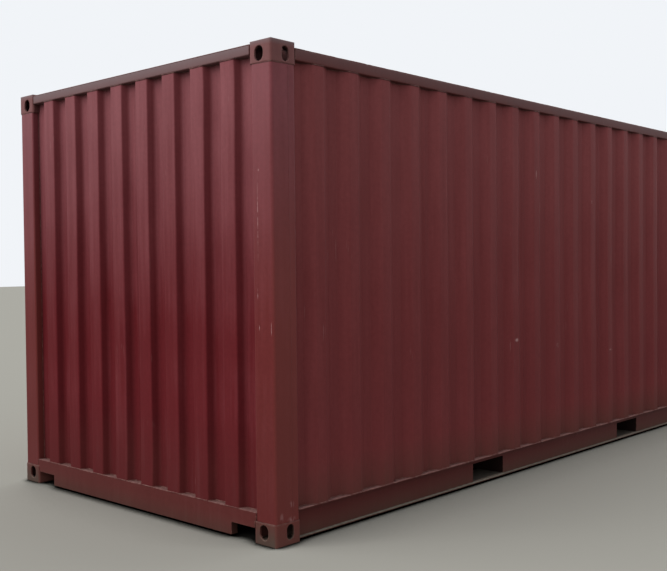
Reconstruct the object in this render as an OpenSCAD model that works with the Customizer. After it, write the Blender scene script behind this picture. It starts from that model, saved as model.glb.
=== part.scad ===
// Dry freight container, 20 ft long and 8 ft 6 in high.
// The frame: X runs along the length with the blind front end at -X and the doors at +X,
// Y runs across with the left side at -Y, and Z is up from the ground under the feet.
// Most shapes are drawn at the front left corner, with x and y measured inboard from the
// outermost faces there, and are mirrored to the other corners.

/* [Overall] */
// Outside length over the corner fittings
length = 6058; // [5900:1:6400]
// Outside width over the corner fittings
width = 2438; // [2400:1:2500]
// Outside height over the corner fittings
height = 2591; // [2500:1:2900]

/* [Corner fittings] */
// Length of a corner fitting along the container
fitting_l = 178; // [176:1:184]
// Width of a corner fitting across the container
fitting_w = 162; // [160:1:168]
// Height of a corner fitting
fitting_h = 118; // [114:1:124]
// Thickness of its side walls
fitting_wall = 12; // [10:0.5:14]
// Thickness of the plate that holds the twistlock slot
fitting_plate = 28; // [24:0.5:32]
// Thickness of the plate on the side of the post
fitting_back = 10.5; // [8:0.5:14]
// Radius of its upright outer edges
fitting_round = 14; // [6:0.5:18]
// Radius of its other outer edges
fitting_edge = 6; // [3:0.5:9]
// Radius of the upright edges of its hollow
fitting_hollow = 9; // [4:0.5:12]
// Length of the twistlock slot, end to end
slot_l = 124.5; // [118:0.5:126]
// Width of the twistlock slot
slot_w = 63.5; // [58:0.5:66]
// Distance of the slot's centre from the end face
slot_x = 102.5; // [101:0.5:104]
// Distance of the slot's centre from the side face
slot_y = 89.5; // [88:0.5:91]
// Width of the hole in the end face
end_hole_w = 63.5; // [56:0.5:66]
// Width of the hole in the side face
side_hole_w = 51; // [46:0.5:54]
// Height of the holes in the end and side faces
hole_h = 79.5; // [76:0.5:79.5]

/* [Corner posts] */
// Length of a front post along the side
post_l = 172; // [160:1:176]
// Width of a front post across the end
post_w = 150; // [140:1:160]
// Plate thickness of the posts
post_t = 6; // [5:0.5:7]
// Setback of the posts from the faces of the corner fittings
post_in = 3; // [2:0.5:4]
// Outer radius of the main bend
post_bend = 16; // [12:1:22]
// Outer radius of the other bends
post_edge = 10; // [8:1:12]
// Width of a rear post across the end
rear_post_w = 49; // [46:1:54]
// Plate thickness of the channel inside a rear post
jamb_t = 12; // [10:0.5:14]

/* [Frame faces] */
// Setback of the rails, the sill and the header from the outermost face
frame_in = 3; // [2:0.5:4]
// Setback of the wall ridges from the outermost face
wall_in = 5; // [4.5:0.5:7]
// Setback of the door frame members from the outermost face
door_in = 50; // [48:1:54]

/* [Bottom rails and base] */
// Underside of the base above the ground
base_z = 12.5; // [10:0.5:16]
// Height of the bottom side rail
rail_h = 158; // [150:1:166]
// Width of its top flange
rail_top_w = 48; // [46:0.5:50]
// Width of its bottom flange
rail_foot_w = 30; // [26:1:36]
// Thickness of the bottom side rail
rail_t = 4.5; // [4:0.5:6]
// Height of the cross members
cross_h = 122; // [110:1:126]
// Flange width of the cross members
cross_w = 45; // [40:1:50]
// Flange width of the cross members under the floor joints
cross_wide_w = 75; // [70:1:80]
// Thickness of the cross members
cross_t = 4; // [3:0.5:5]
// Largest spacing of the cross members
cross_pitch = 300; // [280:5:340]
// Thickness of the floor boards
floor_t = 28; // [24:1:29]

/* [Forklift pockets] */
// Centre distance of the two pockets
pocket_pitch = 2050; // [2030:5:2080]
// Clear width of a pocket
pocket_w = 360; // [340:5:370]
// Clear height of a pocket
pocket_h = 115; // [105:1:116]
// Thickness of the pocket's top plate
pocket_top_t = 3; // [2:0.5:4]
// Thickness of the strap plates below its mouths
strap_t = 6; // [5:0.5:7]
// Length of the strap plates inboard of the rails
strap_l = 200; // [180:5:240]

/* [Front end] */
// Top of the front sill above the ground
sill_z = 160; // [150:1:165]
// Depth of the front sill along the container
sill_d = 62; // [58:1:70]
// Thickness of the front sill
sill_t = 4; // [3:0.5:5]
// Length of the notch beside each corner fitting
notch_l = 183; // [160:1:200]
// Top of the notch above the ground
notch_z = 80; // [70:1:90]
// Height of the front header's face
header_h = 54; // [50:1:60]
// Drop of the front header's top below the corner fittings
header_drop = 11; // [8:1:14]
// Thickness of the header tube
header_t = 3; // [2.5:0.5:4]

/* [Wall panels] */
// Thickness of the wall sheets
sheet_t = 2; // [1.6:0.1:2.4]
// Pitch of the side wall ribs
side_pitch = 278; // [270:1:290]
// Width of an outer rib face on the side wall
side_ridge = 72; // [66:1:80]
// Run of a sloping face on the side wall
side_slope = 68; // [60:1:74]
// Depth of the side wall ribs
side_depth = 36; // [34:0.5:38]
// First rib centre from the front end of the container
side_first = 355; // [340:1:370]
// Pitch of the front wall ribs
front_pitch = 250; // [240:1:260]
// Width of an outer rib face on the front wall
front_ridge = 110; // [100:1:120]
// Run of a sloping face on the front wall
front_slope = 18; // [12:1:24]
// Depth of the front wall ribs
front_depth = 45.6; // [42:0.2:48]

/* [Top rails and roof] */
// Height and depth of the top side rail tube
top_rail = 60; // [56:1:64]
// Thickness of the top side rail tube
top_rail_t = 3; // [2.5:0.5:4]
// Drop of the top side rail's top below the corner fittings
top_rail_drop = 30; // [28:1:34]
// Thickness of the roof sheet
roof_t = 2; // [1.6:0.1:2.4]
// Thickness of the plates at the two ends of the roof
roof_plate_t = 3; // [2.5:0.5:4]
// Length of an end plate on the side rails
roof_plate_l = 72; // [60:2:100]
// Pitch of the roof ribs
roof_pitch = 209; // [200:1:220]
// Width of the top of a roof rib
roof_ridge = 91; // [80:1:100]
// Run of a sloping face on the roof
roof_slope = 13.5; // [10:0.5:18]
// Height of the roof ribs
roof_rib = 20; // [16:1:21]
// Distance of the roof ribs from the outermost side face
roof_margin = 85; // [75:1:110]

/* [Doors] */
// Height of the door header above the door opening
door_header_h = 127; // [120:1:140]
// Plate thickness of the door sill and door header
door_plate_t = 4.5; // [4:0.5:5]
// Depth of the door sill and door header
door_frame_d = 64; // [60:1:70]
// Gap all round a door leaf, filled by its gasket
leaf_gap = 9; // [8:0.5:11]
// Gap between the two leaves
leaf_meet = 10; // [8:0.5:12]
// Setback of the leaves behind the sill and header faces
leaf_in = 6; // [5:0.5:8]
// Depth of a door leaf
leaf_d = 50; // [45:1:55]
// Width of the leaf's upright tubes
stile_w = 100; // [90:1:110]
// Thickness of the leaf's upright tubes
stile_t = 3.2; // [2.5:0.1:4]
// Height of the leaf's top and bottom channels
leaf_rail_h = 150; // [140:1:160]
// Thickness of the leaf's top and bottom channels
leaf_rail_t = 3; // [2.5:0.5:4]
// Number of ribs on a door panel
door_ribs = 3; // [2:1:3]
// Pitch of the door panel ribs
door_pitch = 280; // [270:1:290]
// Depth of the gasket along the container
gasket_d = 30; // [24:1:36]

/* [Door gear] */
// Diameter of a locking bar
bar_d = 34; // [30:0.5:36]
// Setback of the bar's centre from the outermost end face
bar_in = 28; // [26:1:30]
// Running clearance round a bar or hinge pin
bar_gap = 0.4; // [0.3:0.1:0.6]
// Height of a bar bracket
bracket_h = 44; // [40:1:50]
// Distance of the outer brackets from the leaf's foot and top
bracket_edge = 60; // [50:5:80]
// Distance of the inner brackets from the leaf's foot and top
bracket_mid = 640; // [600:10:680]
// Height of a cam keeper
keeper_h = 66; // [60:1:72]
// Width of a cam keeper
keeper_w = 84; // [78:1:92]
// Height of the handles above the ground, lower one
handle_z = 1080; // [1000:5:1200]
// Height between the two handles of a leaf
handle_step = 160; // [140:5:200]
// Length of a handle
handle_l = 400; // [380:5:440]
// Height of a handle at its pivot
handle_root = 36; // [32:1:38]
// Height of a handle at its grip
handle_grip = 26; // [24:1:30]
// Thickness of a handle
handle_t = 12; // [10:1:13]
// Thickness of the cheeks that hold a handle's pivot pin
cheek_t = 5; // [4:0.5:6]
// Diameter of a handle's pivot pin
pivot_d = 12; // [10:0.5:14]
// Diameter of a hinge pin
pin_d = 14; // [12:0.5:16]
// Setback of the hinge pin from the end face and from the side face
pin_in = 26; // [24:1:28]
// Radius of the hinge eye and lugs
eye_r = 15; // [13:0.5:16]
// Height of a hinge blade
blade_h = 56; // [50:1:62]
// Thickness of a hinge lug
lug_t = 14; // [12:1:16]
// Number of hinges on a leaf
hinge_count = 4; // [3:1:5]

/* [Hidden] */
$fn = 48;
EPS = 0.5;

half_l = length / 2;
half_w = width / 2;
rail_z = base_z + rail_h;
floor_z = rail_z - 3;
cross_top = floor_z - floor_t;
cross_z = cross_top - cross_h;
web_in = rail_top_w;
top_rail_top = height - top_rail_drop;
top_rail_z = top_rail_top - top_rail;
header_top = height - header_drop;
header_z = header_top - header_h;
post_z = fitting_h;
post_top = height - fitting_h;
hole_z = fitting_plate + (fitting_h - fitting_plate - fitting_back) / 2;

side_valley = wall_in + side_depth;
front_valley = wall_in + front_depth;
post_return_side = side_valley + sheet_t + 4;
post_return_end = front_valley + sheet_t + 4;
rear_post_l = post_l;
side_count = floor((length - rear_post_l - side_first - side_ridge / 2 - side_slope) / side_pitch) + 1;
front_count = 2 * floor((half_w - post_w - 20) / front_pitch);
front_first = half_w - (front_count - 1) / 2 * front_pitch;

pocket_z = base_z + strap_t + 1.5;
pocket_x = half_l - pocket_pitch / 2;

roof_end = fitting_l + roof_plate_l;
roof_span = length - 2 * roof_end;
roof_count = floor((roof_span - 60) / roof_pitch);
roof_first = roof_end + (roof_span - (roof_count - 1) * roof_pitch) / 2;
header_back = frame_in + top_rail;

opening_top = header_top - roof_plate_t - door_header_h;
leaf_x = door_in + leaf_in;
leaf_y0 = rear_post_w + leaf_gap;
leaf_y1 = half_w - leaf_meet / 2;
leaf_z0 = rail_z + leaf_gap;
leaf_z1 = opening_top - leaf_gap;
panel_y0 = leaf_y0 + stile_w;
panel_y1 = leaf_y1 - stile_w;
panel_mid = (panel_y0 + panel_y1) / 2;
bar_ys = [panel_mid - door_pitch, panel_mid + door_pitch];
keeper_low = rail_z - keeper_h - 8;
keeper_high = opening_top + 12;
keeper_ear = 11;
cam_play = 3;
cam_h = keeper_h - 2 * (keeper_ear + cam_play);
cam_d = bar_d + 2;
hub_h = 68;
hub_d = bar_d + 10;
cheek_h = handle_root + 4;
pivot_y = hub_d / 2 + handle_root / 2 + 2;
hinge_margin = 210;
hinge_pitch = (leaf_z1 - leaf_z0 - 2 * hinge_margin) / (hinge_count - 1);
bracket_zs = [leaf_z0 + bracket_edge, leaf_z0 + bracket_mid, leaf_z1 - bracket_mid, leaf_z1 - bracket_edge];

paint = "#5e2a2b";
casting_paint = "#51322f";
rail_paint = "#553230";
board = "#8a6a48";
zinc = "#8f9396";
rubber = "#1c1c1d";

FRONT = -1;
REAR = 1;
LEFT = -1;
RIGHT = 1;

// Placing

// Moves a shape drawn inboard of the front left corner to any of the four corners
module at_corner(end, side) {
    mirror_to([end, 0, 0]) mirror_to([0, side, 0]) translate([-half_l, -half_w, 0]) children();
}

// Mirrors along an axis when its sign there is positive
module mirror_to(sign_axis) {
    if (max(sign_axis) > 0) mirror([sign_axis[0], sign_axis[1], sign_axis[2]]) children();
    else children();
}

// Turns a bottom corner shape upside down to the top of the container
module at_top() {
    translate([0, 0, height]) mirror([0, 0, 1]) children();
}

// The blocks that the four bottom and four top fittings fill, kept clear by the frame
module fitting_blocks() {
    for (end = [FRONT, REAR], side = [LEFT, RIGHT]) at_corner(end, side) {
        cube([fitting_l, fitting_w, fitting_h]);
        translate([0, 0, height - fitting_h]) cube([fitting_l, fitting_w, fitting_h]);
    }
}

// Flat outlines

// Rounded rectangle with its corner at the origin
module rounded(a, b, r) {
    translate([r, 0]) square([a - 2 * r, b]);
    translate([0, r]) square([a, b - 2 * r]);
    for (x = [r, a - r], y = [r, b - r]) translate([x, y]) circle(r);
}

// Slot with round ends, centred, along x
module round_slot(l, w) {
    square([l - w, w], center = true);
    for (s = [-1, 1]) translate([s * (l - w) / 2, 0]) circle(d = w);
}

// Quarter of a bent plate: outer radius r, thickness t, in quadrant q counted from +x +y
module bend(r, t, q) {
    intersection() {
        difference() {
            circle(r);
            circle(r - t);
        }
        rotate(90 * q) square(r + 1);
    }
}

// Channel of height h, flanges w, thickness t: web on the y axis, flanges towards +x
module channel(h, w, t) {
    square([t, h]);
    square([w, t]);
    translate([0, h - t]) square([w, t]);
}

// Square tube with its corner at the origin
module tube(a, b, t) {
    difference() {
        rounded(a, b, 2 * t);
        translate([t, t]) rounded(a - 2 * t, b - 2 * t, t);
    }
}

// Folded sheet from s = a to s = b: n ribs of pitch p with their faces at depth 0,
// the rest at depth d; a bent line and the same line moved one thickness inboard
function rib_line(a, b, first, p, n, ridge, slope, d, shift, level) = concat(
    [[a, d + level]],
    [for (k = [0:n - 1], q = [
        [-ridge / 2 - slope + shift, d + level], [-ridge / 2 + shift, level],
        [ridge / 2 - shift, level], [ridge / 2 + slope - shift, d + level]])
        [first + k * p + q[0], q[1]]],
    [[b, d + level]]);
function turned(line) = [for (k = [len(line) - 1:-1:0]) line[k]];
module ribbed(a, b, first, p, n, ridge, slope, d, t) {
    shift = t * tan(atan2(d, slope) / 2);
    polygon(concat(rib_line(a, b, first, p, n, ridge, slope, d, 0, 0),
        turned(rib_line(a, b, first, p, n, ridge, slope, d, shift, t))));
}

// Extrudes an outline drawn in x and z along y
module along_y(y0, y1) {
    translate([0, y1, 0]) rotate([90, 0, 0]) linear_extrude(y1 - y0) children();
}

// Extrudes an outline drawn in y and z along x
module along_x(x0, x1) {
    translate([x0, 0, 0]) rotate([90, 0, 90]) linear_extrude(x1 - x0) children();
}

// Corner fittings

module corner_fitting() {
    inner_l = fitting_l - 2 * fitting_wall;
    inner_w = fitting_w - 2 * fitting_wall;
    inner_h = fitting_h - fitting_plate - fitting_back;
    difference() {
        intersection() {
            linear_extrude(fitting_h) rounded(fitting_l, fitting_w, fitting_round);
            along_y(0, fitting_w) rounded(fitting_l, fitting_h, fitting_edge);
            along_x(0, fitting_l) rounded(fitting_w, fitting_h, fitting_edge);
        }
        translate([fitting_wall, fitting_wall, fitting_plate])
            linear_extrude(inner_h) rounded(inner_l, inner_w, fitting_hollow);
        translate([slot_x, slot_y, -1]) linear_extrude(fitting_plate + 2) round_slot(slot_l, slot_w);
        translate([0, slot_y, hole_z]) along_x(-1, fitting_wall + 1)
            rotate(90) round_slot(hole_h, end_hole_w);
        translate([slot_x, 0, hole_z]) along_y(-1, fitting_wall + 1)
            rotate(90) round_slot(hole_h, side_hole_w);
    }
}

module fitting(end, side, top) {
    color(casting_paint) at_corner(end, side) {
        if (top) at_top() corner_fitting();
        else corner_fitting();
    }
}

// Corner posts

// One pressed section: a face on the end, a face on the side and a return leg at each edge
module front_post(side) {
    l = post_l - post_in;
    w = post_w - post_in;
    color(paint) at_corner(FRONT, side) translate([post_in, post_in, post_z])
        linear_extrude(post_top - post_z) {
            translate([post_bend, post_bend]) bend(post_bend, post_t, 2);
            translate([0, post_bend]) square([post_t, w - post_bend - post_edge]);
            translate([post_bend, 0]) square([l - post_bend - post_edge, post_t]);
            translate([l - post_edge, post_edge]) bend(post_edge, post_t, 3);
            translate([post_edge, w - post_edge]) bend(post_edge, post_t, 1);
            translate([l - post_t, post_edge]) square([post_t, post_return_side - post_in - post_edge]);
            translate([post_edge, w - post_t]) square([post_return_end - post_in - post_edge, post_t]);
        }
}

// A pressed outer section with a heavy channel as the door jamb, and lugs for the hinges
module rear_post(side) {
    jamb_l = rear_post_l - door_in - 2 * post_t;
    w = rear_post_w - post_in;
    color(paint) at_corner(REAR, side) {
        translate([0, 0, post_z]) linear_extrude(post_top - post_z) {
            translate([door_in, post_in]) {
                translate([post_bend, post_bend]) bend(post_bend, post_t, 2);
                translate([0, post_bend]) square([post_t, w - post_bend]);
                translate([post_bend, 0]) square([rear_post_l - door_in - post_bend - post_edge, post_t]);
            }
            translate([rear_post_l - post_edge, post_in + post_edge]) bend(post_edge, post_t, 3);
            translate([rear_post_l - post_t, post_in + post_edge]) square([post_t, w - post_edge]);
            translate([door_in + post_t, rear_post_w]) rotate(-90)
                channel(jamb_l, w - post_t - 3, jamb_t);
        }
        for (k = [0:hinge_count - 1], s = [-1, 1])
            translate([0, 0, hinge_z(k) + s * (blade_h / 2 + bar_gap + lug_t / 2) - lug_t / 2])
                linear_extrude(lug_t) difference() {
                    union() {
                        translate([pin_in, pin_in]) circle(eye_r);
                        translate([pin_in, pin_in - eye_r]) square([door_in - pin_in + EPS, 2 * eye_r - 6]);
                    }
                    translate([pin_in, pin_in]) circle(d = pin_d + bar_gap);
                }
    }
}

function hinge_z(k) = leaf_z0 + hinge_margin + k * hinge_pitch;

// Bottom and top side rails

module bottom_rail(side) {
    color(rail_paint) difference() {
        at_corner(FRONT, side) along_x(post_l, length - rear_post_l) {
            translate([web_in - rail_t, base_z]) square([rail_t, rail_h]);
            translate([0, rail_z - rail_t]) square([rail_top_w, rail_t]);
            translate([web_in - rail_foot_w, base_z]) square([rail_foot_w, rail_t]);
        }
        fitting_blocks();
        for (end = [FRONT, REAR]) at_corner(end, side)
            translate([pocket_x - pocket_w / 2, web_in - rail_t - 1, pocket_z])
                cube([pocket_w, rail_t + 2, pocket_h]);
    }
}

module top_rail(side) {
    color(rail_paint) at_corner(FRONT, side) along_x(fitting_l, length - fitting_l)
        translate([frame_in, top_rail_z]) tube(top_rail, top_rail, top_rail_t);
}

// Front end

// Pressed sill with a ledge for the wall, an upstand at the floor and a notch at each fitting
module front_sill() {
    lip = 42;
    color(rail_paint) difference() {
        for (side = [LEFT, RIGHT]) at_corner(FRONT, side) {
            difference() {
                along_y(post_w, half_w) {
                    translate([frame_in, base_z]) square([sill_t, sill_z - base_z]);
                    translate([frame_in, sill_z - sill_t]) square([sill_d - frame_in, sill_t]);
                    translate([frame_in, base_z]) square([lip, sill_t]);
                    translate([sill_d - sill_t, cross_z + cross_h / 2])
                        square([sill_t, floor_z - cross_z - cross_h / 2]);
                }
                translate([0, fitting_w - 1, 0]) cube([sill_d - sill_t - 1, notch_l + 1, notch_z]);
            }
            translate([frame_in, fitting_w, notch_z]) cube([lip, notch_l + sill_t, sill_t]);
            translate([frame_in, fitting_w + notch_l, base_z]) cube([lip, sill_t, notch_z - base_z + 1]);
        }
        fitting_blocks();
    }
}

module front_header() {
    color(rail_paint) at_corner(FRONT, LEFT) along_y(fitting_w, width - fitting_w)
        translate([frame_in, header_z]) tube(top_rail, header_h - roof_plate_t, header_t);
}

module front_wall() {
    color(paint) difference() {
        at_corner(FRONT, LEFT) translate([wall_in, 0, sill_z]) linear_extrude(header_z - sill_z)
            mirror([1, -1, 0]) ribbed(post_w, width - post_w, front_first, front_pitch, front_count,
                front_ridge, front_slope, front_depth, sheet_t);
        fitting_blocks();
    }
}

// Side walls

module side_wall(side) {
    color(paint) difference() {
        at_corner(FRONT, side) translate([0, wall_in, rail_z]) linear_extrude(top_rail_z - rail_z)
            ribbed(post_l, length - rear_post_l, side_first, side_pitch, side_count,
                side_ridge, side_slope, side_depth, sheet_t);
        fitting_blocks();
    }
}

// Roof

// Pressed sheet: ribs across the roof with closed sloping ends
module roof_sheet() {
    color(rail_paint) at_corner(FRONT, LEFT) difference() {
        roof_form(0, 0, roof_t);
        roof_form(roof_t, 1, 0);
    }
}

// The ribbed form: the sheet's outer skin, or with inset above zero the hollow below it
module roof_form(inset, drop, base) {
    low = top_rail_top;
    top = low + roof_t + roof_rib - inset;
    run = 2 * roof_slope;
    lean = inset * tan(atan2(roof_rib, roof_slope) / 2);
    lean_end = inset * tan(atan2(roof_rib, run) / 2);
    y0 = roof_margin + lean_end;
    y1 = width - y0;
    rim = inset > 0 ? y0 : frame_in;
    line = rib_line(roof_end, roof_end + roof_span, roof_first, roof_pitch, roof_count,
        roof_ridge, roof_slope, roof_rib, lean, 0);
    intersection() {
        along_y(frame_in, width - frame_in)
            polygon(concat([[roof_end, low - drop]], [for (q = line) [q[0], top - q[1]]],
                [[roof_end + roof_span, low - drop]]));
        along_x(roof_end, roof_end + roof_span)
            polygon([[rim, low - drop], [rim, low + base], [y0, low + base], [y0 + run, top],
                [y1 - run, top], [y1, low + base], [width - rim, low + base], [width - rim, low - drop]]);
    }
}

// End plate: level over the header, then down to the side rails beside the fittings
module roof_plate(end, start) {
    top = header_top;
    low = top_rail_top + roof_plate_t;
    bottom_line = [[start, top], [header_back, top], [fitting_l, low], [roof_end, low]];
    color(rail_paint) difference() {
        at_corner(end, LEFT) along_y(frame_in, width - frame_in)
            polygon(concat(bottom_line, turned([for (p = bottom_line) [p[0], p[1] - roof_plate_t]])));
        fitting_blocks();
    }
}

// Base

// Cross member with its web at x and its flanges towards +x, between the two side rails
module cross_member(x, w) {
    translate([x, 0, 0]) along_y(web_in, width - web_in) translate([0, cross_z]) channel(cross_h, w, cross_t);
}

// Cross members spread evenly between two places, with a wide one in the middle of the bay
module cross_bay(x0, x1) {
    n = ceil((x1 - x0) / cross_pitch) - 1;
    step = (x1 - x0) / (n + 1);
    color(paint) at_corner(FRONT, LEFT) for (k = [1:n])
        cross_member(x0 + k * step - cross_w / 2, k == ceil(n / 2) ? cross_wide_w : cross_w);
}

module forklift_pocket(end) {
    color(paint) at_corner(end, LEFT) {
        translate([pocket_x, 0, 0]) for (s = [-1, 1]) mirror_to([-s, 0, 0])
            cross_member(pocket_w / 2, cross_w);
        translate([pocket_x - pocket_w / 2, web_in, pocket_z + pocket_h])
            cube([pocket_w, width - 2 * web_in, pocket_top_t]);
        for (y = [web_in, width - web_in - strap_l])
            translate([pocket_x - pocket_w / 2 - cross_w, y, cross_z - strap_t])
                cube([pocket_w + 2 * cross_w, strap_l, strap_t]);
    }
}

module floor_boards() {
    x1 = length - door_in - door_frame_d;
    color(board) at_corner(FRONT, LEFT) translate([sill_d, web_in, floor_z - floor_t])
        cube([x1 - sill_d, width - 2 * web_in, floor_t]);
}

// Door end frame

// Pressed sill with a face, a top, a back leg and a notch at each fitting
module door_sill() {
    t = door_plate_t;
    color(rail_paint) difference() {
        for (side = [LEFT, RIGHT]) at_corner(REAR, side) {
            difference() {
                along_y(rear_post_w, half_w) {
                    translate([door_in, base_z]) square([t, rail_z - base_z]);
                    translate([door_in, rail_z - t]) square([door_frame_d, t]);
                    translate([door_in, base_z]) square([door_frame_d / 2, t]);
                    translate([door_in + door_frame_d - t, cross_z + cross_h / 2])
                        square([t, rail_z - cross_z - cross_h / 2]);
                }
                translate([0, fitting_w - 1, 0]) cube([door_in + door_frame_d - t - 1, notch_l + 1, notch_z]);
            }
            translate([door_in, fitting_w, notch_z]) cube([door_frame_d / 2, notch_l + t, t]);
            translate([door_in, fitting_w + notch_l, base_z]) cube([door_frame_d / 2, t, notch_z - base_z + 1]);
        }
        fitting_blocks();
        post_blocks();
    }
}

// The space that the rear posts fill, kept clear by the sill and the header
module post_blocks() {
    for (side = [LEFT, RIGHT]) at_corner(REAR, side)
        translate([door_in, 0, post_z]) cube([rear_post_l - door_in, rear_post_w, post_top - post_z]);
}

// Boxed header with a drip channel over the doors
module door_header() {
    t = door_plate_t;
    top = header_top - roof_plate_t;
    back = door_in + door_frame_d;
    back_top = top - (back - header_back) / (fitting_l - header_back) * (header_top - roof_plate_t - top_rail_top);
    gutter = 22;
    color(rail_paint) difference() {
        at_corner(REAR, LEFT) along_y(rear_post_w, width - rear_post_w) {
            translate([door_in, opening_top]) square([t, top - opening_top]);
            translate([door_in, opening_top]) square([door_frame_d, t]);
            translate([back - t, opening_top]) square([t, back_top - opening_top]);
            translate([door_in - gutter, top - gutter]) square([gutter + 1, roof_plate_t]);
            translate([door_in - gutter, top - gutter]) square([roof_plate_t, gutter / 2]);
        }
        fitting_blocks();
        post_blocks();
    }
}

// Doors

// Leaf frame: two upright tubes and two channels open to the inside
module door_frame(side) {
    y0 = leaf_y0;
    y1 = leaf_y1;
    weld = stile_t - EPS;
    color(paint) at_corner(REAR, side) {
        translate([leaf_x, 0, leaf_z0]) linear_extrude(leaf_z1 - leaf_z0) {
            translate([0, y0]) tube(leaf_d, stile_w, stile_t);
            translate([0, y1 - stile_w]) tube(leaf_d, stile_w, stile_t);
        }
        for (z = [leaf_z0, leaf_z1 - leaf_rail_h]) along_y(y0 + stile_w - weld, y1 - stile_w + weld)
            translate([leaf_x, z]) channel(leaf_rail_h, leaf_d, leaf_rail_t);
    }
}

module door_panel(side) {
    color(paint) at_corner(REAR, side) translate([leaf_x, 0, leaf_z0 + leaf_rail_h])
        linear_extrude(leaf_z1 - leaf_z0 - 2 * leaf_rail_h) mirror([1, -1])
            ribbed(panel_y0, panel_y1, panel_mid - (door_ribs - 1) / 2 * door_pitch, door_pitch, door_ribs,
                side_ridge, side_slope, side_depth, sheet_t);
}

// A rubber ring round each leaf that closes the gap to the frame
module door_gaskets() {
    w = leaf_gap - 0.3;
    mid = leaf_meet / 2 - 0.3;
    color(rubber) for (side = [LEFT, RIGHT]) at_corner(REAR, side)
        along_x(leaf_x + (leaf_d - gasket_d) / 2, leaf_x + (leaf_d + gasket_d) / 2) difference() {
            translate([leaf_y0 - w, leaf_z0 - w])
                square([leaf_y1 - leaf_y0 + w + mid, leaf_z1 - leaf_z0 + 2 * w]);
            translate([leaf_y0, leaf_z0]) square([leaf_y1 - leaf_y0, leaf_z1 - leaf_z0]);
        }
}

// Forged blades on the leaf that turn on a pin between the post's lugs
module door_hinges(side) {
    strap_x = leaf_x - 11;
    reach = leaf_y0 + stile_w - 8;
    color(rail_paint) at_corner(REAR, side) for (k = [0:hinge_count - 1]) {
        translate([0, 0, hinge_z(k) - blade_h / 2]) linear_extrude(blade_h) difference() {
            union() {
                translate([pin_in, pin_in]) circle(eye_r);
                polygon([[pin_in - eye_r, pin_in], [pin_in + eye_r, pin_in], [strap_x, rear_post_w - 6],
                    [door_in - 1, rear_post_w], [leaf_x, leaf_y0 + 4], [leaf_x, reach], [strap_x, reach],
                    [strap_x, leaf_y0 + 22]]);
            }
            translate([pin_in, pin_in]) circle(d = pin_d + bar_gap);
        }
        translate([pin_in, pin_in, hinge_z(k) - blade_h / 2 - lug_t - 3])
            cylinder(d = pin_d, h = blade_h + 2 * lug_t + 6);
        translate([pin_in, pin_in, hinge_z(k) + blade_h / 2 + lug_t + 2 * bar_gap])
            cylinder(d = pin_d + 8, h = 4);
    }
}

// Door gear

// Bar with a cam at each end and a hub whose cheeks hold the handle, on the side that dir gives
module locking_bar(y, hub_z, dir) {
    z0 = keeper_low + keeper_ear + cam_play;
    z1 = keeper_high + keeper_h - keeper_ear - cam_play;
    translate([bar_in, y, 0]) {
        translate([0, 0, z0]) cylinder(d = bar_d, h = z1 - z0);
        for (z = [z0, z1 - cam_h]) translate([0, 0, z]) linear_extrude(cam_h) {
            circle(d = cam_d);
            translate([-bar_d / 2, 0]) square([bar_d / 2 + 6, keeper_w / 2 - 16]);
            translate([-bar_d / 4 + 3, keeper_w / 2 - 16]) circle(d = bar_d / 2 + 6);
        }
        translate([0, 0, hub_z - hub_h / 2]) cylinder(d = hub_d, h = hub_h);
        for (x = [-handle_t / 2 - bar_gap - cheek_t, handle_t / 2 + bar_gap])
            translate([0, 0, hub_z]) mirror_to([0, -dir, 0]) along_x(x, x + cheek_t) difference() {
                union() {
                    translate([0, -cheek_h / 2]) square([pivot_y, cheek_h]);
                    translate([pivot_y, 0]) circle(d = cheek_h);
                }
                translate([pivot_y, 0]) circle(d = pivot_d + bar_gap);
            }
    }
}

module locking_bars(side) {
    color(zinc) at_corner(REAR, side) for (k = [0, 1])
        locking_bar(bar_ys[k], handle_z + (1 - k) * handle_step, k == 0 ? 1 : -1);
}

// Saddles that hold the bars to the leaves
module bar_brackets() {
    color(zinc) for (side = [LEFT, RIGHT], y = bar_ys, z = bracket_zs) at_corner(REAR, side)
        translate([bar_in, y, z - bracket_h / 2]) linear_extrude(bracket_h) difference() {
            union() {
                circle(d = bar_d + 12);
                translate([0, -bar_d / 2 - 6]) square([leaf_x - bar_in - 5, bar_d + 12]);
                translate([leaf_x - bar_in - 6, -side_ridge / 2 + 2]) square([6, side_ridge - 4]);
            }
            circle(d = bar_d + 2 * bar_gap);
        }
}

// Forged keeper: a grooved back plate and two open ears, above and below the cam
module cam_keeper(z) {
    back = 8;
    front = bar_in - bar_d / 2 - 4;
    difference() {
        union() {
            translate([front, 0, z]) cube([door_in - front, keeper_w / 2, keeper_h]);
            translate([door_in - back, -keeper_w / 2, z]) cube([back, keeper_w, keeper_h]);
        }
        translate([front - 1, -1, z + keeper_ear])
            cube([door_in - back - front + 1, keeper_w / 2 + 2, keeper_h - 2 * keeper_ear]);
        translate([bar_in, 0, z - 1]) cylinder(d = cam_d + 1, h = keeper_h + 2);
    }
}

module cam_keepers() {
    color(rail_paint) for (side = [LEFT, RIGHT], y = bar_ys, z = [keeper_low, keeper_high])
        at_corner(REAR, side) translate([0, y, 0]) cam_keeper(z);
}

// Outline of a handle from its pivot outwards: a round root, a taper and a round grip end
module handle_outline() {
    reach = handle_l - pivot_y - handle_grip / 2;
    bar_start = reach / 3;
    circle(d = handle_root);
    polygon([[0, -handle_root / 2], [bar_start, -handle_grip / 2], [reach, -handle_grip / 2],
        [reach, handle_grip / 2], [bar_start, handle_grip / 2], [0, handle_root / 2]]);
    translate([reach, 0]) circle(d = handle_grip);
}

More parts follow.
